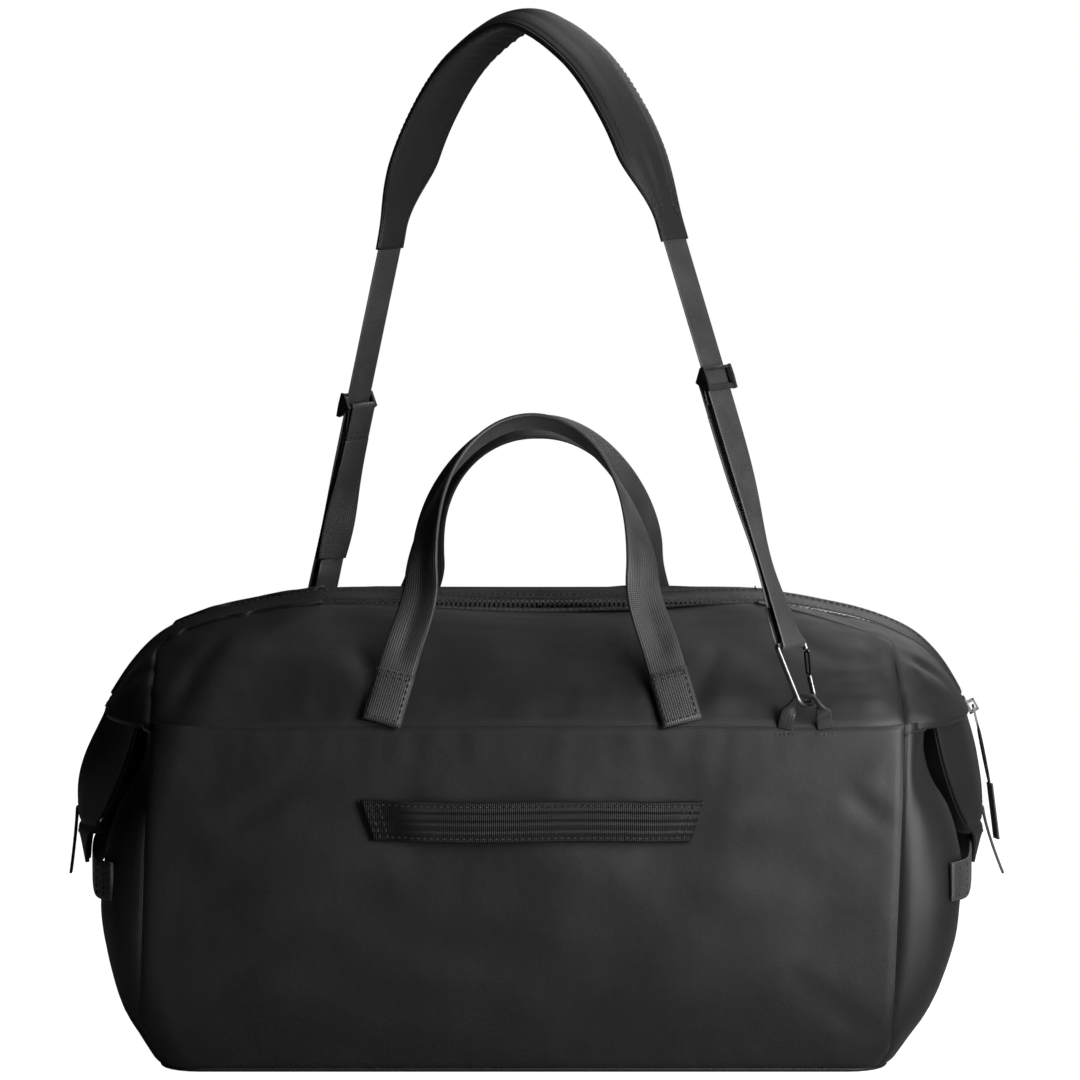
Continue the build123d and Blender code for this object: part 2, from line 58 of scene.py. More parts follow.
# ------------------------------------------------------------------ sizes, as in the CAD model
CORNER_X = {1: 239.0, -1: 251.0}  # vertical corner seams, right and left
SEAM_Z = 228.0  # horizontal seam between lower and upper panels
TOP_Z = 298.0
ARC_X, ARC_Z = 160.0, 153.8  # axis of the arc that the zip follows over each end
ARC_R = TOP_Z - ARC_Z
MOUTH_X = 150.0
RIDGE_Y = 33.0  # the rolled edges each side of the zip
CHAIN_Y = 3.0
CHAIN_DROP = 5.5  # the zip lies this far below its rolled edges
EAVE = 4.0  # depth of the fold under the overhang at each end
SIDES = ((1, "right"), (-1, "left"))
UP = np.array([0, 0, 1.0])
LOWER = [  # height, half length, half depth, corner radius
    (0.0, 237.0, 115.0, 25.0),
    (35.0, 260.0, 122.0, 29.0),
    (100.0, 279.0, 126.0, 36.0),
    (160.0, 276.0, 124.0, 38.0),
    (228.0, 258.0, 118.0, 31.0),
]
UPPER = [  # height, half depth, corner radius
    (228.0, 118.0, 72.0),
    (252.0, 104.0, 70.0),
    (276.0, 80.0, 60.0),
    (288.6, 62.0, 46.0),
    (295.0, 50.0, 34.0),
    (298.0, 40.0, 20.0),
    (299.0, 34.0, 14.0),
]
BODY_LEAD = 0.4  # the fabric stands this far outside the CAD skin


# ------------------------------------------------------------------ small maths
def hermite(xs, ys, x):
    """Smooth curve through (xs, ys) at x. ys may hold several columns."""
    xs, ys, x = np.asarray(xs, float), np.asarray(ys, float), np.asarray(x, float)
    slopes = np.gradient(ys, xs, axis=0)
    i = np.clip(np.searchsorted(xs, x) - 1, 0, len(xs) - 2)
    span = xs[i + 1] - xs[i]
    t = np.clip((x - xs[i]) / span, 0.0, 1.0)
    if ys.ndim > 1:
        t, span = t[..., None], span[..., None]
    one = (1 + 2 * t) * (1 - t) ** 2 * ys[i] + t**2 * (3 - 2 * t) * ys[i + 1]
    return one + t * (1 - t) ** 2 * span * slopes[i] + t**2 * (t - 1) * span * slopes[i + 1]


def profile(table, z):
    """The sizes in a table of heights and sizes, smoothed between its heights."""
    return hermite([row[0] for row in table], [row[1:] for row in table], z)

def distances(path):
    """How far along a polyline each of its points lies."""
    return np.r_[0, np.cumsum(np.linalg.norm(np.diff(path, axis=0), axis=1))]

def smooth_route(points, count):
    """Evenly spaced points on a smooth curve through the given ones."""
    points = np.asarray(points, float)
    chord = distances(points)
    fine = hermite(chord, points, np.linspace(0, chord[-1], 600))
    return even(fine, count)


def even(path, count, start=0.0, end=1.0):
    """Resamples a polyline at equal steps, between two fractions of its length."""
    path = np.asarray(path, float)
    along = distances(path)
    wanted = np.linspace(start * along[-1], end * along[-1], count)
    return np.stack([np.interp(wanted, along, path[:, k]) for k in range(path.shape[1])], axis=1)


def unit(v):
    v = np.asarray(v, float)
    return v / np.maximum(np.linalg.norm(v, axis=-1, keepdims=True), 1e-9)


def step(low, high, x):
    t = np.clip((np.asarray(x, float) - low) / (high - low), 0, 1)
    return t * t * (3 - 2 * t)


def bump(x, middle, width):
    return np.exp(-(((np.asarray(x, float) - middle) / width) ** 2))


def wander(points, scale, seed):
    """Smooth noise, about -1 to 1, at each point. scale is the size of its folds."""
    flat = np.asarray(points, float).reshape(-1, 3) / scale
    found = [noise.noise(Vector((p[0] + seed, p[1] + 1.7 * seed, p[2] - seed))) for p in flat]
    return np.array(found).reshape(np.shape(points)[:-1])


def grid_normals(grid):
    """Unit normals of a grid of points."""
    across = np.gradient(grid, axis=1)
    down = np.gradient(grid, axis=0)
    return unit(np.cross(across, down))


def grid_distances(grid):
    """Distance down the columns and across the rows of a grid of points."""
    down, across = np.zeros(grid.shape[:2]), np.zeros(grid.shape[:2])
    down[1:] = np.cumsum(np.linalg.norm(np.diff(grid, axis=0), axis=2), axis=0)
    across[:, 1:] = np.cumsum(np.linalg.norm(np.diff(grid, axis=1), axis=2), axis=1)
    return down, across

def edge_distance(grid, rows, columns):
    """Distance over the surface from the chosen edges: first and last row, first and last column."""
    down, across = grid_distances(grid)
    found = (down, down[-1:] - down, across, across[:, -1:] - across)
    far = np.full(grid.shape[:2], 1e3)
    for chosen, distance in zip((*rows, *columns), found):
        if chosen:
            far = np.minimum(far, distance)
    return far

def moved(grid, axis, amount):
    """The same points, moved along one axis."""
    found = np.array(grid, float)
    found[..., axis] += amount
    return found


# ------------------------------------------------------------------ materials
def new_material(name, color, roughness, **sockets):
    material = bpy.data.materials.new(name)
    material.use_nodes = True
    shader = material.node_tree.nodes["Principled BSDF"]
    shader.inputs["Base Color"].default_value = (*color, 1)
    shader.inputs["Roughness"].default_value = roughness
    for socket, value in sockets.items():
        shader.inputs[socket.replace("_", " ")].default_value = value
    return material, material.node_tree, shader


def node(tree, kind, **settings):
    made = tree.nodes.new(kind)
    for key, value in settings.items():
        setattr(made, key, value)
    return made


def mix_color(tree, shader, factor, dark, light):
    """Base colour that varies between two tones."""
    ramp = node(tree, "ShaderNodeValToRGB")
    ramp.color_ramp.elements[0].color = (*dark, 1)
    ramp.color_ramp.elements[1].color = (*light, 1)
    ramp.color_ramp.elements[0].position = 0.3
    ramp.color_ramp.elements[1].position = 0.7
    tree.links.new(factor, ramp.inputs["Fac"])
    tree.links.new(ramp.outputs["Color"], shader.inputs["Base Color"])


def threads(tree, pitch_across, pitch_along):
    """Height of crossing threads, from the UV map, whose units are metres."""
    uv = node(tree, "ShaderNodeUVMap")
    split = node(tree, "ShaderNodeSeparateXYZ")
    tree.links.new(uv.outputs["UV"], split.inputs[0])
    waves = []
    for axis, pitch in (("X", pitch_across), ("Y", pitch_along)):
        turn = node(tree, "ShaderNodeMath", operation="MULTIPLY")
        turn.inputs[1].default_value = 2 * pi / (pitch * MM)
        wave = node(tree, "ShaderNodeMath", operation="SINE")
        tree.links.new(split.outputs[axis], turn.inputs[0])
        tree.links.new(turn.outputs[0], wave.inputs[0])
        waves.append(wave.outputs[0])
    return waves


def combine(tree, operation, first, second):
    made = node(tree, "ShaderNodeMath", operation=operation)
    for socket, value in zip(made.inputs, (first, second)):
        if isinstance(value, float):
            socket.default_value = value
        else:
            tree.links.new(value, socket)
    return made.outputs[0]


def grain(tree, scale, detail=3.0):
    place = node(tree, "ShaderNodeTexCoord")
    texture = node(tree, "ShaderNodeTexNoise")
    texture.inputs["Scale"].default_value = scale
    texture.inputs["Detail"].default_value = detail
    tree.links.new(place.outputs["Object"], texture.inputs["Vector"])
    return texture.outputs["Fac"]


def add_bump(tree, shader, height, strength, distance, under=None):
    made = node(tree, "ShaderNodeBump")
    made.inputs["Strength"].default_value = strength
    made.inputs["Distance"].default_value = distance * MM
    tree.links.new(height, made.inputs["Height"])
    if under:
        tree.links.new(under.outputs["Normal"], made.inputs["Normal"])
    tree.links.new(made.outputs["Normal"], shader.inputs["Normal"])
    return made


def cloth_material(name, dark, light, pitch, roughness=0.5):
    """Close-woven nylon: crossing threads, faint slubs and uneven tone."""
    material, tree, shader = new_material(
        name, light, roughness, Sheen_Weight=0.03, Sheen_Roughness=0.45, Specular_IOR_Level=0.42
    )
    shader.inputs["Sheen Tint"].default_value = (0.75, 0.76, 0.8, 1)
    weft, warp = threads(tree, pitch, pitch)
    weave = combine(tree, "MULTIPLY", weft, warp)
    slubs = add_bump(tree, shader, grain(tree, 900.0, 4.0), 0.25, 0.25)
    soft = add_bump(tree, shader, grain(tree, 60.0, 3.0), 0.25, 1.2, slubs)
    add_bump(tree, shader, weave, 0.35, 0.10, soft)
    mix_color(tree, shader, grain(tree, 22.0, 6.0), dark, light)
    return material


def webbing_material(name, dark, light, rib, pick, strength, specular=0.5):
    """Ribbed webbing: ribs along its length, picks across it."""
    material, tree, shader = new_material(
        name, light, 0.46, Sheen_Weight=0.05, Sheen_Roughness=0.4, Specular_IOR_Level=specular
    )
    ribs, picks = threads(tree, rib, pick)
    height = combine(tree, "ADD", ribs, combine(tree, "MULTIPLY", picks, 0.45))
    fuzz = add_bump(tree, shader, grain(tree, 900.0, 2.0), 0.12, 0.2)
    add_bump(tree, shader, height, strength, 0.22, fuzz)
    tone = combine(tree, "ADD", combine(tree, "MULTIPLY", ribs, 0.18), grain(tree, 40.0, 4.0))
    mix_color(tree, shader, tone, dark, light)
    return material


def metal_material(name, color, roughness):
    """Dark metal with a faint grain and uneven wear."""
    material, tree, shader = new_material(name, color, roughness, Metallic=1.0)
    add_bump(tree, shader, grain(tree, 700.0, 2.0), 0.08, 0.1)
    dark, light = (tuple(share * c for c in color) for share in (0.8, 1.25))
    mix_color(tree, shader, grain(tree, 160.0, 5.0), dark, light)
    return material

def plastic_material(name, color, roughness, scale, strength, distance):
    """Moulded plastic with a faint skin."""
    material, tree, shader = new_material(name, color, roughness)
    add_bump(tree, shader, grain(tree, scale), strength, distance)
    return material


nylon = cloth_material("black_nylon", (0.0042, 0.0042, 0.0045), (0.0072, 0.0072, 0.0076), 1.1)
pad_cloth = cloth_material("pad_nylon", (0.0045, 0.0045, 0.0048), (0.008, 0.008, 0.0085), 1.2, 0.55)
lining_cloth = cloth_material("lining_cloth", (0.03, 0.03, 0.033), (0.045, 0.045, 0.048), 0.9)
webbing = webbing_material("webbing", (0.019, 0.019, 0.0195), (0.042, 0.042, 0.043), 1.5, 1.3, 0.4)
band_web = webbing_material("ribbed_band", (0.0018, 0.0018, 0.0019), (0.0045, 0.0045, 0.0047), 1.3, 3.0, 0.4,
                            specular=0.24)
binding = webbing_material("binding_tape", (0.003, 0.003, 0.0032), (0.006, 0.006, 0.0063), 0.9, 0.9, 0.5)
thread, _, _ = new_material("thread", (0.022, 0.022, 0.023), 0.6)
metal = metal_material("dark_metal", (0.16, 0.16, 0.165), 0.3)
teeth_plastic = plastic_material("zip_teeth", (0.05, 0.05, 0.052), 0.25, 500.0, 0.1, 0.1)
board_plastic = plastic_material("board", (0.02, 0.02, 0.02), 0.5, 300.0, 0.3, 0.2)


# ------------------------------------------------------------------ mesh making
def placed(name, data):
    """A new object in the scene."""
    obj = bpy.data.objects.new(name, data)
    bpy.context.scene.collection.objects.link(obj)
    return obj

def make(name, verts, faces, material, slot, body="shell", replaces=(), uv=None, ride=True):
    """A smooth-shaded object from points in millimetres."""
    mesh = bpy.data.meshes.new(name)
    mesh.from_pydata([tuple(v) for v in np.asarray(verts) * MM], [], [tuple(map(int, f)) for f in faces])
    mesh.polygons.foreach_set("use_smooth", [True] * len(mesh.polygons))
    layer = mesh.uv_layers.new(name="UVMap")
    if uv is not None:
        uv = np.asarray(uv) * MM
        index = np.zeros(len(mesh.loops), int)
        mesh.loops.foreach_get("vertex_index", index)
        layer.data.foreach_set("uv", uv[index].ravel())
    mesh.validate()
    mesh.update()
    obj = placed(name, mesh)
    mesh.materials.append(material)
    if replaces:
        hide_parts(*replaces)
    if ride:
        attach(obj, body)
    return obj



def quads(rows, columns, flip=False, wrap=False):
    """Faces of a grid of rows by columns. wrap joins the last column to the first."""
    found = []
    for i in range(rows - 1):
        for j in range(columns if wrap else columns - 1):
            k = (j + 1) % columns
            face = (i * columns + j, i * columns + k, (i + 1) * columns + k, (i + 1) * columns + j)
            found.append(face[::-1] if flip else face)
    return found


def sheet(name, grid, material=nylon, slot="nylon", thickness=2.0, leans=True, **more):
    """A grid of points as a cloth panel whose thickness goes inwards."""
    grid = lean(grid) if leans else grid
    flip = float(np.sum(grid_normals(grid) * (grid - (0, 0, 120.0)))) < 0
    down, across = grid_distances(grid)
    uv = np.stack([across - across[:, -1:] / 2, down], axis=2).reshape(-1, 2)
    obj = make(name, grid.reshape(-1, 3), quads(*down.shape, flip), material, slot, uv=uv, **more)
    wall = obj.modifiers.new("thickness", "SOLIDIFY")
    wall.thickness = thickness * MM
    wall.offset = -1.0
    return obj

def tube_grid(name, rings, material, slot, uv=None, **more):
    """A closed skin over rings of points: stations by points round."""
    rings = np.asarray(rings, float)
    count, around = rings.shape[:2]
    faces = quads(count, around, wrap=True)
    faces += [tuple(range(around))[::-1], tuple((count - 1) * around + k for k in range(around))]
    normal = np.cross(rings[1, 1] - rings[0, 1], rings[0, 1] - rings[0, 0])
    if normal @ (rings[0, 0] - rings[0].mean(axis=0)) < 0:
        faces = [f[::-1] for f in faces]
    return make(name, rings.reshape(-1, 3), faces, material, slot, uv=uv, **more)


def ribbon(name, route, across, width, thickness, material, slot="webbing", columns=9,
           crown=None, **more):
    """Webbing: a flat strip with rounded edges along a route. crown(u, v) lifts its face."""
    route, across = np.asarray(route, float), unit(across)
    if across.ndim == 1:
        across = np.repeat(across[None], len(route), axis=0)
    along = unit(np.gradient(route, axis=0))
    face = unit(np.cross(along, across))
    length = distances(route)
    width = np.broadcast_to(np.asarray(width, float), (len(route),))
    u = np.sin(np.linspace(-pi / 2, pi / 2, columns))
    half = thickness / 2 * (1 - np.abs(u) ** 6) ** (1 / 3)
    rings, uv = [], []
    for sign, order in ((1, slice(None)), (-1, slice(columns - 2, 0, -1))):
        for uu, hh in zip(u[order], half[order]):
            lift = sign * hh
            if crown is not None:
                lift = lift + crown(uu, length)
            lift = np.broadcast_to(lift, (len(route),))
            rings.append(route + across * (uu * width / 2)[:, None] + face * lift[:, None])
            uv.append(np.stack([np.full(len(route), uu) * width / 2, length], axis=1))
    rings = np.stack(rings, axis=1)
    uv = np.stack(uv, axis=1).reshape(-1, 2)
    return tube_grid(name, rings, material, slot, uv=uv, **more)


def cord_tube(name, route, radius, material, slot, **more):
    """A round strand along a route."""
    route = np.asarray(route, float)
    along = unit(np.gradient(route, axis=0))
    side = unit(np.cross(along, (0.31, 0.87, 0.21)))
    other = np.cross(along, side)
    angles = np.linspace(0, 2 * pi, 8, endpoint=False)
    rings = [route + radius * (side * cos(a) + other * sin(a)) for a in angles]
    return tube_grid(name, np.stack(rings, axis=1), material, slot, **more)


STITCH = 3.0  # length of one stitch
STITCH_STEP = 4.2  # from one stitch to the next
STITCH_R = 0.42


def stitch_run(path, normals, lift=0.15, length=STITCH, pitch=STITCH_STEP):
    """Points and faces of a row of stitches along a path."""
    path = np.asarray(path, float)
    along = distances(path)
    total = along[-1]
    count = max(int(total / pitch), 1)
    both = np.concatenate([path, np.broadcast_to(normals, path.shape)], axis=1)

    def at(distance):
        return np.stack([np.interp(distance, along, both[:, k]) for k in range(6)], axis=-1)

    starts = (np.arange(count) + 0.5) * total / count
    low, high = at(starts - length / 2), at(starts + length / 2)
    verts, faces = [], []
    for a, b in zip(low, high):
        out = unit(a[3:] + b[3:])
        run = unit(b[:3] - a[:3])
        side = np.cross(run, out)
        middle = (a[:3] + b[:3]) / 2 + out * lift
        base = len(verts)
        verts.append(a[:3] - out * 0.1)
        for end in (-0.25, 0.25):
            for angle in np.arange(6) * pi / 3:
                ring = side * cos(angle) + out * sin(angle)
                verts.append(middle + run * length * end + STITCH_R * ring)
        verts.append(b[:3] - out * 0.1)
        for k in range(6):
            n = (k + 1) % 6
            faces.append((base, base + 1 + n, base + 1 + k))
            faces.append((base + 1 + k, base + 1 + n, base + 7 + n, base + 7 + k))
            faces.append((base + 13, base + 7 + k, base + 7 + n))
    return verts, faces


def stitches(name, runs, body="shell", ride=True, **more):
    """One object that holds several rows of stitches: (path, normals) each."""
    verts, faces = [], []
    for path, normals in runs:
        new_verts, new_faces = stitch_run(path, normals, **more)
        faces += [tuple(k + len(verts) for k in face) for face in new_faces]
        verts += new_verts
    return make(name, verts, faces, thread, "webbing", body=body, ride=ride)

def stitch_row(centre, direction, half, count, out):
    """A straight row of stitches about a centre: its path and the way it faces."""
    return centre + np.outer(np.linspace(-half, half, count), direction), out


# ------------------------------------------------------------------ bag body: outlines by level
def lower_level(z):
    half_x, half_y, radius = profile(LOWER, z)
    return half_x + BODY_LEAD, half_y + BODY_LEAD, radius


def upper_level(z):
    half_y, radius = profile(UPPER, z)
    half_x = ARC_X + sqrt(max(ARC_R**2 - (min(z, TOP_Z) - ARC_Z) ** 2, 0.0)) - max(z - TOP_Z, 0) * 6
    return half_x + BODY_LEAD, half_y + BODY_LEAD, radius


def front_path(level):
    """Half an outline: from the middle of the right end round the front to the left end."""
    half_x, half_y, radius = level
    corner_x, corner_y = half_x - radius, half_y - radius
    turn = np.radians(np.linspace(0, 90, 40))
    right = np.stack([corner_x + radius * np.cos(turn), -corner_y - radius * np.sin(turn)], axis=1)
    left = right[::-1] * (-1, 1)
    end = np.stack([np.full(30, half_x), np.linspace(0, -corner_y, 30, endpoint=False)], axis=1)
    middle = np.stack([np.linspace(corner_x, -corner_x, 90)[1:-1], np.full(88, -half_y)], axis=1)
    return np.concatenate([end, right, middle, left, end[::-1] * (-1, 1)])


def columns_of(level, cuts, counts, start_y=0.0):
    """Splits half an outline at the corner seams: right end, front and left end columns."""
    path = front_path(level)
    along = distances(path)
    half = along[-1] / 2
    near = along <= half
    begin = np.interp(start_y, -path[near][:, 1], along[near]) if start_y else 0.0
    right, left = (
        max(np.interp(-cut, -path[near][:, 0], along[near]), begin + 0.5) for cut in cuts
    )
    marks = [(begin, right), (right, along[-1] - left), (along[-1] - left, along[-1] - begin)]
    found = []
    for (low, high), count in zip(marks, counts):
        wanted = np.linspace(low, high, count)
        if count > 20:  # closer together beside a seam
            wanted = np.r_[low, low + 0.5, low + 1.5, np.linspace(low + 3, high - 3, count - 6),
                           high - 1.5, high - 0.5, high]
        found.append(np.stack([np.interp(wanted, along, path[:, k]) for k in (0, 1)], axis=1))
    return found


def corner_cuts(level, margin=0.3):
    """Where the right and left corner seams cross a level."""
    return [min(CORNER_X[side], level[0] - margin * level[2]) for side in (1, -1)]


def lift_to(columns, z):
    return np.concatenate([columns, np.full((len(columns), 1), z)], axis=1)


NX, NE, NG = 150, 34, 26  # columns across the front, half an end panel and half a gusset
LEAN_AT, LEAN = 150.0, 0.036  # the filled bag leans along its length, about this height


def lean(grid):
    """Lean the bag along its length, and let its ridge slump and swell towards each end."""
    far, z = np.abs(grid[..., 0]), grid[..., 2]
    rise = step(216, 246, z) * (4.0 * bump(far, 256, 24) - 3.6 * bump(far, 184, 34))
    return moved(moved(grid, 2, rise), 0, LEAN * (z - LEAN_AT))


def panels_over(levels, outline_at, cuts_at, counts, start_y=0.0):
    """Right end, front and left end as grids, from the outlines at a run of heights."""
    rows = []
    for z in levels:
        level = outline_at(z)
        rows.append([lift_to(part, z) for part in columns_of(level, cuts_at(level, z), counts, start_y)])
    return [np.stack(part) for part in zip(*rows)]

LOWER_LEVELS = np.concatenate([np.linspace(1.2, 12, 6), np.linspace(16, 212, 66), np.linspace(214.5, 225, 5),
                               (226.5, 227.5, 228.0)])
lower_right, lower_front, lower_left = panels_over(
    LOWER_LEVELS, lower_level, lambda level, z: corner_cuts(level), (NE, NX, NE))
MIRROR_Y = np.array([1, -1, 1.0])
lower_back = lower_front * MIRROR_Y
end_right = np.concatenate([(lower_right * MIRROR_Y)[:, ::-1], lower_right[:, 1:]], axis=1)
end_left = np.concatenate([lower_left, (lower_left * MIRROR_Y)[:, ::-1][:, 1:]], axis=1)


def outward_normals(grid):
    normals = grid_normals(grid)
    return -normals if float(np.sum(normals * (grid - (0, 0, 110.0)))) < 0 else normals


VALLEY, VALLEY_WIDTH = 1.3, 2.2  # the dip along a seam


def soften(grid, seed, slack, pucker, rows, columns):
    """Hangs a panel like cloth: slow sags, finer creases by the seams and a valley at each seam."""
    normals = outward_normals(grid)
    far = edge_distance(grid, rows, columns)
    free = step(0.0, 60.0, far)
    relief = slack * free * wander(grid * (1, 1, 0.55), 95.0, seed)
    relief += 0.45 * slack * free * wander(grid * (1, 1, 1.4), 42.0, seed + 7)
    near = step(0.5, 9.0, far) * np.exp(-far / 26.0)
    relief += pucker * near * wander(grid * (1, 1, 0.25), 13.0, seed + 3)
    valley = VALLEY * np.exp(-((far / VALLEY_WIDTH) ** 2))
    relief -= valley * (1 - step(264.0, 276.0, grid[..., 2]))  # the corner seams run out below the ridge
    return grid + normals * relief[..., None]


def crease(grid, start, end, depth, width):
    """Presses a soft fold line into a panel, from one point to another."""
    fade = 0.25  # share of its length over which it dies out at each end
    start, end = np.asarray(start, float), np.asarray(end, float)
    run = end - start
    t = np.clip(((grid - start) @ run) / (run @ run), -0.2, 1.2)
    near = np.linalg.norm(grid - (start + t[..., None] * run), axis=-1)
    ends = step(-0.05, fade, t) * (1 - step(1 - fade, 1.05, t))
    ridge = np.exp(-((near / width) ** 2)) - 0.6 * np.exp(-((near / (2.6 * width)) ** 2))
    return grid - outward_normals(grid) * (depth * ridge * ends)[..., None]

def creased(grid, *folds):
    """Presses several folds: start, end, depth and width of each."""
    for fold in folds:
        grid = crease(grid, *fold)
    return grid


lower_front = soften(lower_front, 11.0, 2.6, 0.6, (True, True), (True, True))
lower_back = soften(lower_back, 23.0, 2.6, 0.6, (True, True), (True, True))
end_right = soften(end_right, 37.0, 3.0, 1.8, (True, False), (True, True))
end_left = soften(end_left, 41.0, 3.4, 2.0, (True, False), (True, True))
# Soft folds run down from where the handles pull, in from the lower corners and down the ends.
lower_front = creased(
    lower_front,
    ((-90, -120, 215), (-70, -126, 110), 0.5, 12),
    ((90, -120, 215), (70, -126, 110), 0.5, 12),
    ((-232, -118, 30), (-150, -124, 95), 1.1, 10),
    ((232, -118, 22), (165, -124, 70), 1.0, 10),
    ((-225, -112, 150), (-150, -124, 190), 1.8, 9),
    ((225, -112, 205), (130, -122, 170), 1.5, 10),
    ((238, -116, 158), (200, -126, 188), 1.5, 8),
)
lower_back = creased(
    lower_back,
    ((-90, 120, 215), (-60, 126, 120), 1.6, 9),
    ((90, 120, 215), (60, 126, 120), 1.6, 9),
)
end_right = creased(
    end_right,
    ((240, -110, 172), (272, -60, 156), 3.5, 7),
    ((240, -110, 146), (274, -58, 118), 2.6, 8),
    ((268, -88, 205), (277, 20, 120), 3.0, 9),
    ((262, 70, 200), (275, -20, 60), 2.4, 10),
)
end_left = creased(
    end_left,
    ((-262, -80, 190), (-277, 10, 90), 3.2, 10),
    ((-262, -90, 120), (-270, 30, 60), 3.0, 9),
)
SINK, SINK_AT, SINK_SPREAD = 12.0, 200.0, 34.0  # how far the end panels sink in, and at what height

def sink_end(grid):
    """The end panels fall inwards under the overhang."""
    x = grid[..., 0]
    depth = SINK * bump(grid[..., 2], SINK_AT, SINK_SPREAD) * step(240, 266, np.abs(x))
    return moved(grid, 0, -np.sign(x) * depth)

def panel(cad_node, grid):
    """The cloth that stands for one panel of the bag."""
    sheet(f"{cad_node}_cloth", grid, replaces=[cad_node])

panel("front_lower_panel", lower_front)
panel("back_lower_panel", lower_back)
panel("end_panel_right", sink_end(end_right))
panel("end_panel_left", sink_end(end_left))

# ------------------------------------------------------------------ base
outline = columns_of((237.0, 115.0, 26.0), (211.0, 211.0), (20, 80, 20))
half_ring = np.concatenate([outline[0], outline[1][1:], outline[2][1:]])
ring = np.concatenate([half_ring, (half_ring * (1, -1))[::-1][1:-1]])
BASE_STEPS = [(1.0, 2.6), (1.004, 1.2), *((shrink, 0.0) for shrink in (1.0, 0.97, 0.7, 0.35, 0.02))]
base = lean(np.stack([lift_to(ring * shrink, z) for shrink, z in BASE_STEPS]))
closing = tuple((len(base) - 1) * len(ring) + k for k in range(len(ring)))
make("base_panel_cloth", base.reshape(-1, 3), quads(len(base), len(ring), wrap=True) + [closing],
     nylon, "nylon", replaces=["base_panel"], uv=base.reshape(-1, 3)[:, :2])

# ------------------------------------------------------------------ upper panels
RIDGE_SAG = 7.5  # the front edge of the mouth drops this much in the middle


def sag_ridge(grid, weight=1.0):
    """Lets the rolled front edge sink in the middle of the bag."""
    return moved(grid, 2, -RIDGE_SAG * bump(grid[..., 0], 0, 108) * step(245, 297, grid[..., 2]) * weight)


rise = np.linspace(0, 1, 46)
UPPER_LEVELS = SEAM_Z + (299.0 - SEAM_Z) * (1 - (1 - rise) ** 1.9)
UPPER_LEVELS = np.sort(np.r_[UPPER_LEVELS, SEAM_Z + 0.5, SEAM_Z + 1.5])
SEAM_DRAW = 13.0  # the right corner seam is drawn in towards the zip as it rises


def upper_cuts(level, z):
    right, left = corner_cuts(level, 0.03)
    return right - SEAM_DRAW * min(1.0, (z - SEAM_Z) / 62) ** 1.4, left

gusset_right, upper_front, gusset_left = panels_over(
    UPPER_LEVELS, upper_level, upper_cuts, (NG, NX, NG), start_y=RIDGE_Y)


def with_eave(gusset, side):
    """Adds the fold that turns under the overhang and runs back to the end panel."""
    level = lower_level(SEAM_Z - EAVE)
    inner = columns_of(level, corner_cuts(level), (NG, NX, NG), start_y=RIDGE_Y)
    inner = lift_to(inner[0 if side > 0 else 2], SEAM_Z - EAVE)
    rows = []
    for t in (0.95, 0.7, 0.45, 0.25, 0.14, 0.07, 0.03):
        row = gusset[0] * (1 - t) + inner * t
        row[:, 2] = SEAM_Z - EAVE * sin(pi / 2 * min(1.0, t * 9))
        rows.append(row)
    return np.concatenate([np.stack(rows), gusset])


gusset_right = with_eave(gusset_right, 1)
gusset_left = with_eave(gusset_left, -1)
upper_back = soften(upper_front * MIRROR_Y, 59.0, 2.4, 1.3, (True, False), (True, True))
upper_front = soften(upper_front, 53.0, 2.6, 0.7, (True, False), (True, True))
GUSSETS = ((1, -1, 61.0), (1, 1, 67.0), (-1, -1, 71.0), (-1, 1, 73.0))  # side, facing, seed of its folds
for side, facing, seed in GUSSETS:
    end = "right" if side > 0 else "left"
    grid = (gusset_right if side > 0 else gusset_left) * (1, -facing, 1)
    soft = creased(
        soften(grid, seed, 1.6, 1.0, (False, False), (side < 0, side > 0)),
        ((side * 243, facing * 72, 270), (side * 268, facing * 62, 236), 2.6, 6),
        ((side * 244, facing * 96, 250), (side * 262, facing * 84, 232), 2.0, 5),
    )
    if side > 0:
        soft = creased(
            soft,
            ((229, facing * 78, 276), (246, facing * 90, 254), 3.2, 4),
            ((242, facing * 104, 242), (258, facing * 92, 228), 2.6, 4),
        )
    sheet(f"gusset_{'front' if facing < 0 else 'back'}_{end}", soft, replaces=[f"end_gusset_{end}"])
upper_front = creased(
    upper_front,
    ((-98, -116, 236), (-120, -80, 280), 1.8, 8),
    ((98, -116, 236), (120, -80, 280), 1.8, 8),
    ((236, -112, 236), (215, -60, 282), 2.0, 8),
    ((206, -92, 262), (160, -72, 286), 2.2, 8),
    ((236, -104, 254), (185, -102, 258), 2.2, 7),
    ((198, -84, 268), (216, -88, 263), 2.2, 6),
    ((-236, -112, 236), (-205, -60, 284), 2.2, 8),
)
upper_back = creased(
    upper_back,
    ((-98, 116, 236), (-120, 80, 280), 1.8, 8),
    ((98, 116, 236), (120, 80, 280), 1.8, 8),
)
panel("front_upper_panel", sag_ridge(upper_front))
panel("back_upper_panel", upper_back)

# ------------------------------------------------------------------ zip strip
def ridge_point(z):
    """Where the rolled edge beside the zip crosses a level, on the right front."""
    first = columns_of(upper_level(z), (150.0, 150.0), (2, 2, 2), start_y=RIDGE_Y)[0][0]
    return first[0], first[1], z


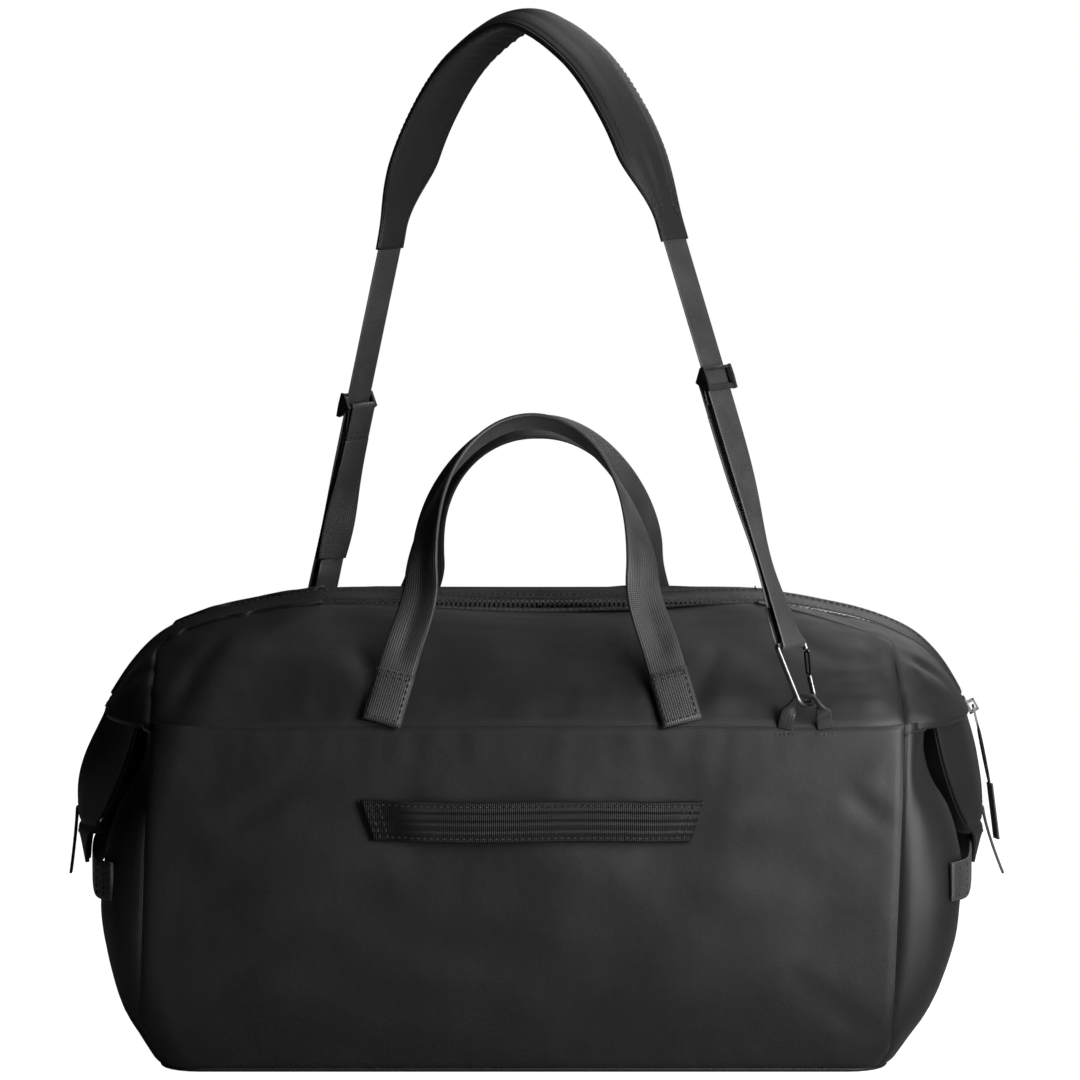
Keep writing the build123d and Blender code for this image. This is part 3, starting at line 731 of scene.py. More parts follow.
ARC_END = np.degrees(np.arccos((SEAM_Z - ARC_Z) / ARC_R))
OVER = np.array([-0.3, -0.25])  # the two halves of the strip overlap in the middle
ZIP_SAG = 0.6  # and it hangs lower there
EDGE_Y, EDGE_Z = -34.2, 299.0  # the straight part of the rolled edge
strip_edge = [(x, EDGE_Y, EDGE_Z) for x in (*OVER, *np.linspace(0, MOUTH_X, 60))]
strip_core = [(x, -CHAIN_Y - 2.4 * bump(x, 0, 120), TOP_Z - CHAIN_DROP - ZIP_SAG * bump(x, 0, 112))
              for x in (*OVER, *np.linspace(0, ARC_X - 3, 60))]
CHAIN_R = ARC_R - CHAIN_DROP
for angle in np.radians(np.linspace(3, ARC_END, 44)):
    strip_edge.append(ridge_point(ARC_Z + ARC_R * cos(angle)))
    strip_core.append((ARC_X + CHAIN_R * sin(angle), -CHAIN_Y, ARC_Z + CHAIN_R * cos(angle)))
strip_edge, strip_core = np.array(strip_edge), np.array(strip_core)
middle_up = unit(np.cross(np.gradient(strip_core, axis=0), (0, 1.0, 0)))
middle_up *= np.sign(middle_up[:, 2:3] + 1e-6)
STRIP_ACROSS = np.linspace(0, 1, 15)
rolled = 0.6 * bump(STRIP_ACROSS, 0.08, 0.12) + 0.8 * np.sin(pi * STRIP_ACROSS)
rolled += 1.3 * bump(STRIP_ACROSS, 0.82, 0.07) - 2.2 * bump(STRIP_ACROSS, 1.0, 0.05)
share = STRIP_ACROSS[None, :, None]
strip = strip_edge[:, None] * (1 - share) + strip_core[:, None] * share
flat_middle = 1 - 0.85 * bump(strip_core[:, 0], 0, 100)
strip = strip + middle_up[:, None] * (rolled[None, :] * flat_middle[:, None])[..., None]
sag = 1.2 * flat_middle[:, None] * wander(strip * (1, 0.4, 1), 55.0, 83.0) * np.sin(pi * STRIP_ACROSS)[None]
strip = strip + middle_up[:, None] * sag[..., None]
PLACES = {
    "front_right": (1, 1, "mouth_front", "front"),
    "front_left": (-1, 1, "mouth_front", "front"),
    "back_right": (1, -1, "mouth_back", "back"),
    "back_left": (-1, -1, "mouth_back", "back"),
}


def blend_to_mouth(obj):
    """Bakes the object's placement into its mesh."""
    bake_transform(obj)


TOOTH_PITCH = 3.1
TEETH_END = 0.985  # the row of teeth stops this far along the strip
TOOTH = [  # reach across the zip, half length, lowest, highest
    (-4.6, 0.95, -0.9, 1.0),
    (-1.2, 0.95, -1.1, 1.3),
    (0.7, 0.62, -0.8, 0.9),
]
ZIP_TILT = 0.32  # the middle of the zip faces a little forward


def tilt_zip(grid, weight=1.0):
    return moved(grid, 2, ZIP_TILT * grid[..., 1] * bump(grid[..., 0], 0, 130) * weight)


def zip_teeth(name, side, facing, body):
    """Moulded teeth that lie from the tape's edge to just past the middle."""
    path = strip_core * (1, 0, 1)
    count = int(distances(path)[-1] * TEETH_END / TOOTH_PITCH)
    ends = even(path, count, 0, TEETH_END)
    ups = unit(np.stack([np.interp(np.linspace(0, TEETH_END, count), np.linspace(0, 1, len(path)),
                                   middle_up[:, k]) for k in range(3)], axis=1))
    runs = unit(np.gradient(ends, axis=0))
    ups = unit(np.cross(runs, np.cross(ups, runs)))
    verts, faces = [], []
    offset = 0.25 * TOOTH_PITCH * facing  # the two rows interlock
    for place, run, up in zip(ends, runs, ups):
        base = len(verts)
        for reach, half_run, low, high in TOOTH:
            for along, height in ((-half_run, low), (half_run, low), (half_run, high), (-half_run, high)):
                point = lean((place + run * (along + offset) + up * (height + 0.6)) * (side, 1, 1))
                verts.append(tilt_zip(np.array((point[0], facing * reach, point[2]))))
        for ring_start in (0, 4):
            for k in range(4):
                n = (k + 1) % 4
                a, b = base + ring_start, base + ring_start + 4
                faces.append((a + k, a + n, b + n, b + k))
        faces.append((base, base + 3, base + 2, base + 1))
        faces.append((base + 8, base + 9, base + 10, base + 11))
    if side * facing < 0:
        faces = [f[::-1] for f in faces]
    obj = make(name, verts, faces, teeth_plastic, "zip_teeth", ride=False,
               replaces=[f"mouth_teeth_{body.split('_')[1]}", f"zip_chain_{'right' if side > 0 else 'left'}"])
    obj.data.polygons.foreach_set("use_smooth", [False] * len(obj.data.polygons))
    blend_to_mouth(obj)


def settle(grid, facing, share):
    """How one side of the strip hangs, at a share of the way from its rolled edge to the zip."""
    if facing > 0:
        return sag_ridge(grid, 1 - share)
    return moved(grid, 2, -4.5 * bump(grid[..., 0], 0, 110) * np.sin(pi * share**0.6))


for place, (side, facing, body, name) in PLACES.items():
    grid = tilt_zip(settle(strip * (side, facing, 1), facing, STRIP_ACROSS), STRIP_ACROSS**4)
    cloth = sheet(f"zip_flap_{place}", grid, thickness=1.4, ride=False,
                  replaces=[f"mouth_flap_{name}", f"zip_tape_{name}_{'right' if side > 0 else 'left'}"])
    blend_to_mouth(cloth)
    zip_teeth(f"zip_teeth_{place}", side, facing, body)
    grid = lean(grid)
    ups = outward_normals(grid)
    runs = [(grid[:, 2], ups[:, 2]), (grid[:, 10], ups[:, 10])]
    rows = stitches(f"zip_stitching_{place}", runs, ride=False)
    blend_to_mouth(rows)
    # Woven tape under the teeth.
    tape = [strip_core * (1, 0, 1) - (0, y, 0) - middle_up * 1.6 for y in (0.4, 3.0, 6.0, 9.0)]
    tape = tilt_zip(np.stack(tape, axis=1) * (side, facing, 1))
    tape = sheet(f"zip_tape_{place}", tape, binding, "webbing", thickness=0.6, ride=False)
    blend_to_mouth(tape)

# Cloth along the foot of each mouth flap.
x = np.linspace(-126, 126, 85)
core_y, core_z, flatness = (
    np.interp(np.abs(x), strip_core[:, 0], values)
    for values in (strip_core[:, 1], strip_core[:, 2], flat_middle)
)
edge = np.stack([x, np.full(len(x), EDGE_Y), np.full(len(x), EDGE_Z)], axis=1)
core = np.stack([x, core_y, core_z], axis=1)
for facing, name in ((1, "front"), (-1, "back")):
    hinge = []
    for v in np.linspace(0, 0.34, 9):
        row = edge * (1 - v) + core * v
        row[:, 2] += (0.6 * bump(v, 0.08, 0.12) + 0.8 * sin(pi * v)) * flatness - 0.5
        hinge.append(settle(row * (1, facing, 1), facing, v))
    cloth = sheet(f"mouth_hinge_{name}", np.stack(hinge), thickness=0.6, ride=False,
                  replaces=[f"mouth_flap_{name}"])
    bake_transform(cloth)

# ------------------------------------------------------------------ zip tails
TAIL_TOP, TAIL_TIP = 227.0, 120.0
TAIL_LEVELS = [  # height, middle x, edge x, half width
    (120.0, 296.0, 295.0, 9.0),
    (136.0, 298.5, 294.0, 24.0),
    (164.0, 299.0, 280.5, 53.0),
    (195.0, 294.0, 269.0, 73.0),
    (228.0, 284.0, 260.0, 88.0),
]


def tail_grid(side):
    """The tongue below the overhang: a centre tape between two rolled petals."""
    levels = np.linspace(TAIL_TOP, TAIL_TIP, 54)
    u = np.linspace(-1, 1, 41)
    rows = []
    for z in levels:
        middle, edge, half = profile(TAIL_LEVELS, z)
        if side < 0:
            middle += 5.5 * bump(z, 182, 32)  # the left tail stands further out
        x = middle - (middle - edge) * u**2
        low = step(TAIL_TIP + 4, 158, z)
        x = x + low * (2.4 * bump(np.abs(u), 0.62, 0.2) - 3.4 * bump(u, 0, 0.13))
        x = x - 1.6 * bump(z, 149, 2.2) + 0.8 * bump(z, 143, 4)
        rows.append(np.stack([side * x, u * half, np.full(len(u), z)], axis=1))
    grid = np.stack(rows)
    return soften(grid, 91.0 + side, 0.8, 0.5, (False, False), (False, False))


for side, name in SIDES:
    grid = tail_grid(side)
    sheet(f"zip_tail_{name}_cloth", grid, thickness=2.4, replaces=[f"zip_tail_{name}"])
    for facing, label in ((-1, "front"), (1, "back")):
        # The petal's edge turns back to the end panel, down to where the tongue hangs free.
        fold = []
        for z in np.linspace(226.0, 144.0, 32):
            _, edge, half = profile(TAIL_LEVELS, z)
            wall = lower_level(z)[0] - SINK * bump(z, SINK_AT, SINK_SPREAD) - 4.0
            start = np.array([edge - 1.5, half - 1.5, z])
            close = np.array([wall, half - 34.0 + 0.2 * (226.0 - z), z])
            t = np.linspace(0, 1, 12)[:, None]
            row = start * (1 - t) + close * t + np.sin(pi * t) * (2.5, 5.0, 0)
            fold.append(row * (side, facing, 1))
        sheet(f"zip_tail_fold_{name}_{label}", np.stack(fold), thickness=1.2,
              replaces=[f"zip_tail_{name}"])
    grid = lean(grid)
    ups = outward_normals(grid)
    stitches(f"zip_tail_stitching_{name}", [
        (grid[:38, 13], ups[:38, 13]), (grid[:38, 27], ups[:38, 27]), (grid[42, 8:33], ups[42, 8:33])])

# ------------------------------------------------------------------ webbing on the ends
GRIP_CORNER = (242.4, 89.4, 37.6)  # x and y of the corner's axis, and its radius, at the grip's height
GRIP_END_ANGLE = -40.0  # degrees round the corner where the grip is sewn down
GRIP_BOW, GRIP_Z = 9.0, 125.0

def turned_out(path):
    """Unit directions out from a flat path that runs round the right end."""
    along = unit(np.gradient(path, axis=0))
    return np.stack([along[:, 1], -along[:, 0]], axis=1)

for side, name in SIDES:
    down = np.linspace(0, 1, 24)
    # Grip tab: sewn beside the tail, hanging free.
    start, splay = (300.9, 13.6) if side > 0 else (303.6, 4.6)
    route = np.stack([side * (start + splay * down**1.3), np.full(24, 19.0), 153 - 44 * down], axis=1)
    ribbon(f"grip_tab_{name}_web", route, (0, 1, 0), 14.0, 1.8, webbing, replaces=[f"grip_tab_{name}"])
    # Grip across the end, bowed off the panel between its two sewn ends.
    corner_x, corner_y, radius = GRIP_CORNER
    turns = np.radians(np.linspace(GRIP_END_ANGLE, 0, 30))
    path = [(corner_x + radius * cos(a), -corner_y + radius * sin(a)) for a in turns]
    path += [(corner_x + radius, y) for y in np.linspace(-corner_y, corner_y, 40)[1:-1]]
    path += [(x, -y) for x, y in path[:30][::-1]]
    path = even(path, 90)
    bow = 1.2 + GRIP_BOW * (1 - (path[:, 1] / np.abs(path[:, 1]).max()) ** 2)
    path = path + turned_out(path) * bow[:, None]
    route = lift_to(path * (side, 1), GRIP_Z)
    ribbon(f"end_grip_{name}_web", route, UP, 26.0, 2.0, webbing, replaces=[f"end_grip_{name}"])
    out = lift_to(turned_out(path) * (side, 1), 0.0)
    rows = [stitch_row(route[k] + out[k], UP, 11.5, 12, out[k]) for k in (3, 7, 82, 86)]
    stitches(f"end_grip_stitching_{name}", rows, lift=0.2)

# ------------------------------------------------------------------ trolley band
BAND_TOP, BAND_FOOT = (180.7, 111.0), (153.6, 102.5)
profile_x = [0, 60, 84, 98, 104, 111]
profile_y = [133.0, 132.8, 131.6, 128.6, 127.9, 127.6]
rows = []
for v in np.linspace(0, 1, 19):
    half = BAND_FOOT[1] + (BAND_TOP[1] - BAND_FOOT[1]) * v
    z = BAND_FOOT[0] + (BAND_TOP[0] - BAND_FOOT[0]) * v
    x = np.linspace(-half, half, 121)
    y = -hermite(profile_x, profile_y, np.abs(x) * BAND_TOP[1] / half)
    y = y + 0.5 * bump(v, 0, 0.08) + 0.5 * bump(v, 1, 0.08)
    y = y - 0.35 * np.sin(v * 2 * pi * 5.5)
    rows.append(np.stack([x, y, np.full(121, z) + 0.5 * np.sin(x / 23.0)], axis=1))
band = np.stack(rows)
sheet("trolley_band_web", band, band_web, "webbing", thickness=1.8, leans=False, replaces=["trolley_band"])
ups = outward_normals(band)
runs = [(band[1:-1, k], ups[1:-1, k]) for k in (3, 6, -7, -4)]
runs += [(band[2, 4:-4], ups[2, 4:-4]), (band[-3, 4:-4], ups[-3, 4:-4])]
stitches("trolley_band_stitching", runs, lift=0.2)

# ------------------------------------------------------------------ carry handles
WEB, WEB_T = 25.0, 1.7
HANDLE_Y, HANDLE_Z = 121.0, 229.5
HANDLE_FOOT_X = 97.5
HIP_X, HIP_W = 72.0, 95.0
HANDLE_TOP = 210.0
ANCHOR_TOP = 38.0
TWIST_FROM = 32.0
LEANS = {"front": (-1, 27.0), "back": (1, 31.3)}


def handle_plane(count=150):
    """Half widths and heights in the handle's own plane, evenly spaced, from foot to foot."""
    legs = [(HANDLE_FOOT_X, 0.5), ((HANDLE_FOOT_X + HIP_X) / 2, HIP_W / 2)]
    legs.append((HIP_X, HIP_W))
    arch = [(HIP_X * cos(a), HIP_W + (HANDLE_TOP - HIP_W) * sin(a)) for a in np.linspace(0.12, pi - 0.12, 21)]
    return smooth_route(legs + arch + [(-x, w) for x, w in legs[::-1]], count)


for name, (facing, leaning) in LEANS.items():
    tilt = radians(leaning)
    up = np.array([0, -facing * sin(tilt), cos(tilt)])
    away = np.array([0, facing * cos(tilt), sin(tilt)])
    flat_route = handle_plane()
    route = np.array([0, facing * HANDLE_Y, HANDLE_Z]) + np.outer(flat_route[:, 1], up)
    route[:, 0] += flat_route[:, 0]
    if facing > 0:
        # This one leans a little to the right.
        route[:, 0] += (4.0 + 2.0 * np.sign(flat_route[:, 0])) * step(20, 120, flat_route[:, 1])
    along = unit(np.gradient(route, axis=0))
    share = step(TWIST_FROM, HANDLE_TOP, flat_route[:, 1])
    turn = (pi / 2 * share)[:, None]
    across = unit(np.cross(away, along)) * np.cos(turn) + away * np.sin(turn)
    total = distances(route)[-1]

    def handle_crown(u, v, total=total):
        """Lengthwise crease above each anchor, where the webbing starts to fold."""
        near = np.minimum(v, total - v)
        fold = step(ANCHOR_TOP, ANCHOR_TOP + 18, near) * (1 - step(105, 150, near))
        return -1.6 * fold * (1 - abs(u)) ** 1.5 + 0.5 * fold * abs(u)

    body = f"handle_{name}"
    ribbon(f"{body}_web", route, across, WEB, 2 * WEB_T, webbing, columns=17, crown=handle_crown,
           body=body, replaces=[body])
    rows = []
    for side, label in SIDES:
        picked = flat_route[:, 1] < ANCHOR_TOP
        picked &= flat_route[:, 0] * side > 0
        low = route[picked] + away * 1.0
        ribbon(f"handle_anchor_{name}_{label}_web", low, across[picked], WEB + 1.0, 2 * WEB_T + 1.4,
               webbing, columns=11, body=body, replaces=[f"handle_anchor_{name}_{label}"])
        leg = route[picked][np.argsort(flat_route[picked][:, 1])]
        wide = across[picked][0]
        run = unit(leg[-1] - leg[0])
        sewn = leg[0] + away * (WEB_T + 1.9)
        rows += [stitch_row(sewn + run * height, wide, 11, 9, away) for height in (3.0, 31.5, 35.0)]
        rows += [stitch_row(sewn + run * 19 + wide * edge, run, 16, 12, away) for edge in (-10.4, 10.4)]
    stitches(f"{body}_stitching", rows, body=body, lift=0.1)

# ------------------------------------------------------------------ shoulder strap
ALONG = unit(np.array([0.7833, -0.6216, 0]))
ACROSS = np.array([-ALONG[1], ALONG[0], 0])
STRAP_WEB, STRAP_WEB_T = 24.0, 1.6
LOOP_Z = 249.0
WEB_OUT, RETURN_OUT = 4.0, -2.1
HOOK_BAR = 35.4
HOOK_BAR_OUT = (WEB_OUT + RETURN_OUT) / 2
WRAP_R = (WEB_OUT - RETURN_OUT) / 2
TAIL_LENGTH = 24.0
PAD_ROUTE = [(89, 577), (67, 619), (31, 659), (-18, 680), (-68, 656), (-105, 611), (-126, 565)]
PAD_HALF = 24.5
PAD_CURL = 5.0  # its long edges bend inwards by this much


def on_strap(s, z):
    return np.array([11.5, 0, 0]) + ALONG * s + UP * z


class Leg:
    """One straight leg of the strap, from its clip loop up to the pad."""

    def __init__(self, loop_s, pad_end, slider_at, twist):
        self.foot = on_strap(loop_s, LOOP_Z)
        reach = on_strap(*pad_end) - self.foot
        self.length = np.linalg.norm(reach)
        self.up = unit(reach)
        self.out = np.cross(ACROSS, self.up)
        self.out *= np.sign(self.out @ (ALONG * loop_s))
        self.slider_at = slider_at
        self.twist = twist  # degrees, height, spread, bow

    def at(self, up, out):
        return self.foot + self.up * up + self.out * out

    def hang(self, heights, out):
        """Route and width direction of a layer of the free webbing, which twists and bows a little."""
        turn, at_height, over, bow = self.twist
        route, across = [], []
        for h in heights:
            near = bump(h, at_height, over)
            angle = radians(turn) * near
            wide = ACROSS * cos(angle) + self.out * sin(angle)
            face = self.out * cos(angle) - ACROSS * sin(angle)
            gap = (out - HOOK_BAR_OUT) * (1 - 0.55 * near)
            route.append(self.at(h, HOOK_BAR_OUT - bow * near) + face * gap)
            across.append(wide)
        return np.array(route), np.array(across)


LEGS = {
    "right": Leg(210.0, (100.0, 537.0), 214.0, (-18.0, 90.0, 46.0, 2.0)),
    "left": Leg(-206.0, (-133.0, 520.0), 170.0, (-20.0, 84.0, 30.0, 2.0)),
}
for name, leg in LEGS.items():
    wrap = [leg.at(HOOK_BAR + 26, RETURN_OUT), leg.at(HOOK_BAR + 12, RETURN_OUT)]
    for angle in np.radians(np.linspace(180, 360, 15)):
        wrap.append(leg.at(HOOK_BAR + WRAP_R * sin(angle), HOOK_BAR_OUT + WRAP_R * cos(angle)))
    main, across = leg.hang(np.linspace(HOOK_BAR + 6, leg.length + 7, 90), WEB_OUT)
    across = np.concatenate([np.tile(ACROSS, (len(wrap), 1)), across])
    wrap = np.concatenate([wrap, main])
    ribbon(f"strap_webbing_{name}_web", wrap, across, STRAP_WEB, STRAP_WEB_T, webbing, columns=13,
           body="strap", replaces=[f"strap_webbing_{name}"])
    low, high = HOOK_BAR + 26.2, leg.slider_at - TAIL_LENGTH + 1.0
    back, across = leg.hang(np.linspace(low, high, 80), RETURN_OUT)
    returned = ribbon(f"strap_return_{name}_web", back, across, STRAP_WEB, STRAP_WEB_T, webbing,
                      columns=13, replaces=[f"strap_return_{name}"], ride=False)
    tuple(leg.at(low + 5, RETURN_OUT) * MM)
    tuple(leg.at(high - 5, RETURN_OUT) * MM)
    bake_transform(returned)
    loop = [leg.at(leg.slider_at - h, RETURN_OUT) for h in np.linspace(TAIL_LENGTH, 1, 12)]
    for angle in np.radians(np.linspace(180, 0, 13)):
        loop.append(leg.at(leg.slider_at + 2.1 * sin(angle), 2.1 * cos(angle)))
    loop += [leg.at(leg.slider_at - h, 1.2 - 0.09 * h) for h in np.linspace(2, 16, 8)]
    ribbon(f"strap_end_loop_{name}_web", loop, ACROSS, STRAP_WEB - 0.6, 1.5, webbing, columns=13,
           body=f"adjuster_{name}", replaces=[f"strap_end_loop_{name}"])
    rows = [stitch_row(leg.at(leg.slider_at - h, RETURN_OUT - 0.9), ACROSS, 10, 9, -leg.out)
            for h in (17.0, 21.0)]
    stitches(f"strap_end_stitching_{name}", rows, body=f"adjuster_{name}", lift=0.1)

# Pad: foam between two cloths, raised along its middle and bound round its edge.
right_leg, left_leg = LEGS["right"], LEGS["left"]
pad_line = [right_leg.at(right_leg.length + 0.3, WEB_OUT)] + [on_strap(*p) for p in PAD_ROUTE]
pad_line.append(left_leg.at(left_leg.length + 0.3, WEB_OUT))
pad_line = smooth_route(pad_line, 150)
pad_along = unit(np.gradient(pad_line, axis=0))
pad_out = unit(np.cross(pad_along, ACROSS))
pad_out *= np.sign(pad_out[75][2])
share = np.linspace(0, 1, 150)
from_end = np.minimum(share, 1 - share)
swell = step(0.03, 0.16, from_end)
half_width = (STRAP_WEB + 3) / 2 + (PAD_HALF - (STRAP_WEB + 3) / 2) * swell


def on_pad(across, lift, picked=slice(None)):
    """Points so far across the pad and so far out from its middle line."""
    return pad_line[picked] + ACROSS * across[:, None] + pad_out[picked] * lift[:, None]

u = np.sin(np.linspace(-pi / 2, pi / 2, 31))
outer, inner = [], []
for uu in u:
    edge = (1 - abs(uu) ** 5) ** 0.4
    groove = 1.5 * bump(abs(uu), 0.42, 0.055) + 0.9 * bump(abs(uu), 0.86, 0.045)
    curl = PAD_CURL * swell * uu**2
    lift = 2.2 * edge + swell * (2.2 * edge + 1.0 * (1 - step(0.36, 0.46, abs(uu))) - 0.6 * groove) - curl
    quilt = 0.6 * swell * wander(pad_line + ACROSS * uu * 20, 26.0, 5.0) * edge
    outer.append(on_pad(uu * half_width, lift + quilt))
    back = 2.0 * edge + swell * (2.4 * edge - 0.6 * bump(abs(uu), 0.86, 0.045)) + curl
    back += 0.9 * bump(share, 0.56, 0.09) * edge * np.sin(share * 330 + 2.0 * uu)
    inner.append(on_pad(uu * half_width, -back))
rings = np.stack(outer + inner[-2:0:-1], axis=1)
pad_length = distances(pad_line)
pad_uv = np.stack([np.stack([uu * half_width, pad_length], axis=1) for uu in (*u, *u[-2:0:-1])], axis=1)
pad = tube_grid("shoulder_pad_soft", rings, pad_cloth, "pad", uv=pad_uv.reshape(-1, 2), body="strap",
                replaces=["shoulder_pad"])
# Binding tape round both long edges.
for side, name in ((-1, "near"), (1, "far")):
    rings = []
    for angle in np.linspace(0, 2 * pi, 12, endpoint=False):
        x, y = 1.9 + 2.3 * cos(angle), 2.3 * sin(angle)
        rings.append(on_pad(side * (half_width - x), y * (0.8 + 0.2 * swell) - 0.9 * PAD_CURL * swell))
    uv = np.stack([np.stack([np.full(150, 0.9 * k), pad_length], axis=1) for k in range(12)], axis=1)
    tube_grid(f"pad_binding_{name}", np.stack(rings, axis=1), binding, "webbing", uv=uv.reshape(-1, 2),
              body="strap")
rows = []
for place in (0.42, 0.8):
    for side in (-1, 1):
        path = on_pad(side * place * half_width, 1.9 + (1.3 - PAD_CURL * place**2) * swell)
        rows.append((path[8:142], pad_out[8:142]))
stitches("pad_stitching", rows, body="strap", lift=0.2)
# A curved row of stitches closes each end of the pad over the webbing.
for name, middle, sign in (("right", 9, 1), ("left", 140, -1)):
    spread = np.linspace(-1, 1, 15)
    station = np.clip(np.round(middle - sign * 4 * spread**2).astype(int), 0, 149)
    face = 2.4 + (2.6 - PAD_CURL * spread**2) * swell[station]
    path = on_pad(spread * (half_width[station] - 3.5), face, station)
    stitches(f"pad_end_stitching_{name}", [(path, pad_out[station])], body="strap", lift=0.0)

# ------------------------------------------------------------------ clip loops
for name, leg in LEGS.items():
    facing = -1 if name == "right" else 1
    top = leg.foot + leg.out * HOOK_BAR_OUT
    near = ALONG * 8.5
    feet = [np.array([top[0] + dx, facing * 117.5, SEAM_Z - 1.5]) for dx in (-13.0, 13.0)]
    knees = [np.array([top[0] + dx, facing * 121.5, SEAM_Z + 5.0]) for dx in (-12.0, 12.0)]
    shoulders = [top - near * 1.3 - UP * 5.0, top + near * 1.3 - UP * 5.0]
    crown = [top - near * 0.6, top, top + near * 0.6]
    route = smooth_route([feet[0], knees[0], shoulders[0], *crown, shoulders[1], knees[1], feet[1]], 70)
    along = unit(np.gradient(route, axis=0))
    out = unit(np.array([0, facing * 1.0, 0.35]))
    flat = unit(np.cross(out, along))
    share = step(LOOP_Z - 13, LOOP_Z - 3, route[:, 2])[:, None]
    across = unit(flat * np.cos(share * pi / 2) + np.cross(along, flat) * np.sin(share * pi / 2))
    width = 10.5 - 2.5 * step(SEAM_Z + 8, LOOP_Z - 4, route[:, 2])
    web = ribbon(f"clip_loop_{name}_web", route, across, width, 2.2, webbing, ride=False,
                 replaces=[f"clip_loop_{name}"])
    # The loop is baked in place, with its sewn feet on the bag.
    sewn = np.array([top[0], facing * 120.0, SEAM_Z + 8.0])
    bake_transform(web)
    rows = [stitch_row(foot + (0, facing * 1.1, -drop), (1, 0, 0), 7, 8, (0, facing, 0))
            for foot in feet for drop in (3.4, 4.1)]
    stitches(f"clip_loop_stitching_{name}", rows, lift=0.3, pitch=2.4, length=2.2)

# ------------------------------------------------------------------ zip pull's soft pieces
PULL_TURN = np.array([0.34, -0.94, 0])  # the cord and its tab hang a little turned to the front
PULL_IN = 1.5  # and lie in towards the tail
lowest, highest = (np.array(c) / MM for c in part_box("pull_cord"))
hang = np.array([highest[0] - lowest[0], 0, lowest[2] - highest[2]])
for sign, label in ((-1, "near"), (1, "far")):
    t = np.linspace(0, 1, 30)
    route = np.stack([
        lowest[0] + 0.6 + (hang[0] - 1.2 - PULL_IN) * t,
        0 * t,
        highest[2] + hang[2] * t,
    ], axis=1)
    route += PULL_TURN * (sign * 1.9 * np.sin(pi * t) ** 0.35 * (1 - 0.3 * t))[:, None]
    cord_tube(f"pull_cord_{label}", route, 0.75, binding, "cord", body="zip_pull",
              replaces=["pull_cord"])
low, high = (np.array(c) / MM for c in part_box("pull_tab"))
t = np.linspace(0, 1, 24)
route = np.stack([
    low[0] + 1.0 - PULL_IN + (high[0] - low[0] - 6.0) * t,
    0 * t,
    high[2] + (low[2] - high[2]) * t,
], axis=1)
ribbon("pull_tab_web", route, PULL_TURN, 9.0, 1.6, webbing, body="zip_pull", replaces=["pull_tab"])

# ------------------------------------------------------------------ CAD pieces that stay
FINISHES = {"dark_metal": metal, "lining": lining_cloth, "board": board_plastic}
slots = {entry["node"]: entry["material_slot"] for entry in frame["record"]["subparts"]}
inner = frame["nodes"]["lining"]
spots = np.array([inner.matrix_world @ v.co for v in inner.data.vertices]) / MM
spots = lean(spots * (0.945, 0.94, 1.0))  # the lining hangs loose, clear of the sunken panels
make("lining_bag", spots, [tuple(f.vertices) for f in inner.data.polygons], lining_cloth, "lining",
     replaces=["lining"], uv=spots[:, [0, 2]])
for cad_node, obj in frame["nodes"].items():
    finish = FINISHES.get(slots.get(cad_node))
    if finish is not None and obj.type == "MESH":
        obj.data.materials.clear()
        obj.data.materials.append(finish)

# ------------------------------------------------------------------ floor, light and camera
FLOOR_Z = -0.0004  # metres, just under the bag
floor_mesh = bpy.data.meshes.new("floor")
floor_corners = [(x, y, FLOOR_Z) for x, y in ((-1.6, -2.2), (1.6, -2.2), (1.6, 1.5), (-1.6, 1.5))]
floor_mesh.from_pydata(floor_corners, [], [(0, 1, 2, 3)])
floor = placed("floor", floor_mesh)
floor_material, floor_tree, floor_shader = new_material(
    "pale_floor", (0.3, 0.3, 0.3), 0.9, Emission_Color=(1, 1, 1, 1)
)
seen = node(floor_tree, "ShaderNodeLightPath")
floor_tree.links.new(seen.outputs["Is Camera Ray"], floor_shader.inputs["Emission Strength"])
add_bump(floor_tree, floor_shader, grain(floor_tree, 12.0), 0.02, 0.5)
floor_mesh.materials.append(floor_material)

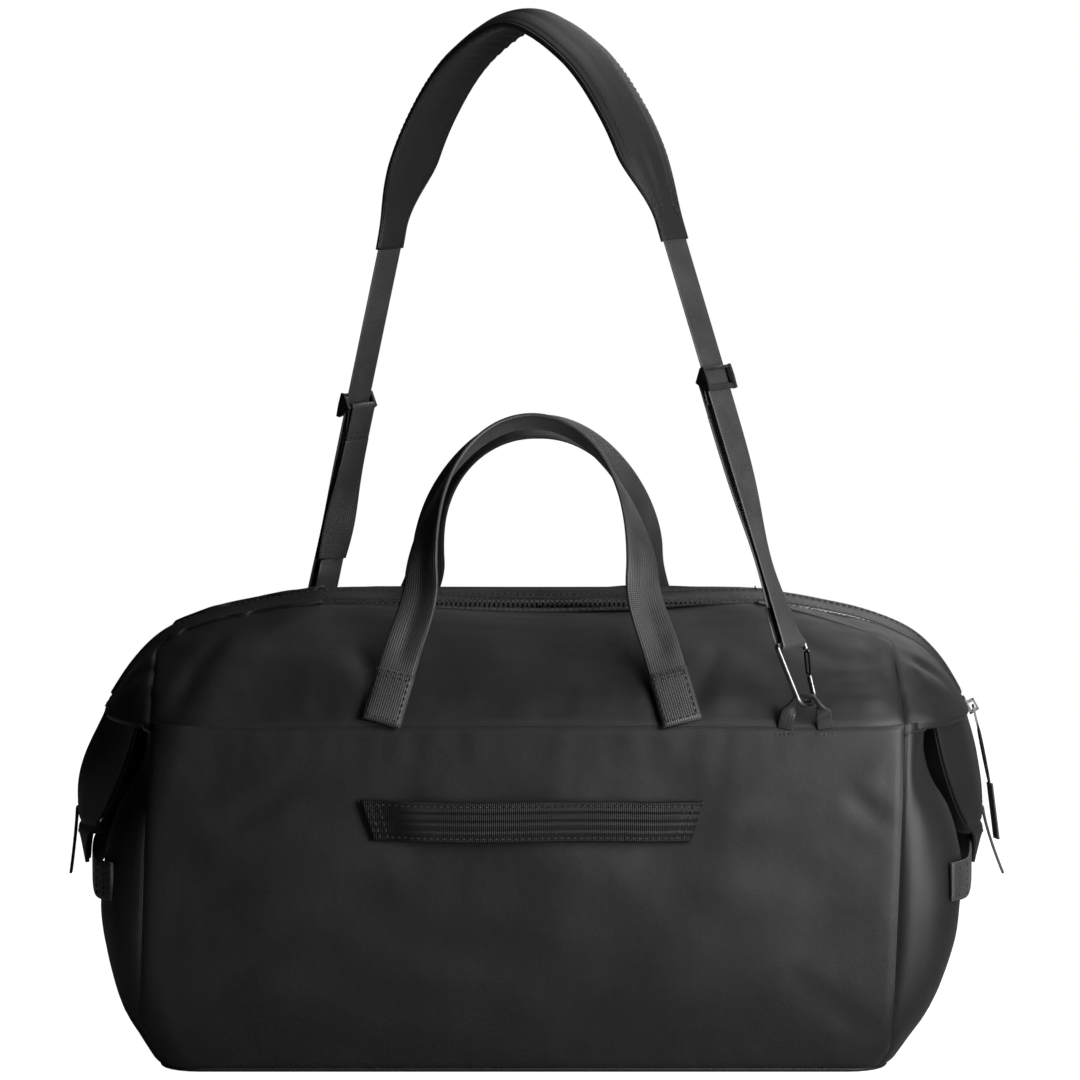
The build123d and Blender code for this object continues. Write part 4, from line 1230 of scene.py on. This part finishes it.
world = bpy.data.worlds.new("studio")
bpy.context.scene.world = world
world.use_nodes = True
tree = world.node_tree
background = tree.nodes["Background"]
background.inputs["Color"].default_value = (1, 1, 1, 1)
rays = node(tree, "ShaderNodeLightPath")
direction = node(tree, "ShaderNodeTexCoord")
split = node(tree, "ShaderNodeSeparateXYZ")
tree.links.new(direction.outputs["Generated"], split.inputs[0])
side_glow = node(tree, "ShaderNodeMapRange")
side_glow.inputs["To Max"].default_value = 0.28  # a little light from the right
tree.links.new(split.outputs["X"], side_glow.inputs["Value"])
total_glow = combine(tree, "MAXIMUM", side_glow.outputs["Result"], rays.outputs["Is Camera Ray"])
tree.links.new(total_glow, background.inputs["Strength"])


def area_light(name, place, aim, size, power):
    data = bpy.data.lights.new(name, "AREA")
    data.shape = "RECTANGLE"
    data.size, data.size_y = size
    data.energy = power
    obj = placed(name, data)
    obj.location = place
    obj.rotation_euler = (Vector(aim) - Vector(place)).to_track_quat("-Z", "Y").to_euler()


area_light("key_right", (0.6, -0.72, 0.4), (0.1, 0, 0.2), (0.4, 0.7), 11.4)
area_light("top", (0.5, 0.3, 1.9), (0, 0, 0.2), (1.2, 0.8), 11)
area_light("back", (0.9, 2.3, 1.4), (0, 0, 0.2), (1.2, 1.0), 9)
area_light("fill_front", (1.9, -2.3, 1.5), (0, 0, 0.25), (1.2, 1.2), 5)

ELEVATION = 7.0  # degrees, of the camera above the bag
DISTANCE = 4.5
TARGET = Vector((0.0053, 0, 0.3347))
FRAME_WIDTH = 0.696  # metres across the picture at the bag's front
camera_data = bpy.data.cameras.new("camera")
camera = placed("camera", camera_data)
tilt = radians(ELEVATION)
camera.location = TARGET + DISTANCE * Vector((0, -cos(tilt), sin(tilt)))
camera.rotation_euler = (TARGET - camera.location).to_track_quat("-Z", "Y").to_euler()
camera_data.sensor_width = 36.0
camera_data.lens = 36.0 * (DISTANCE - 0.118) / FRAME_WIDTH
camera_data.clip_end = 50
bpy.context.scene.camera = camera
bpy.context.scene.view_settings.view_transform = "Standard"
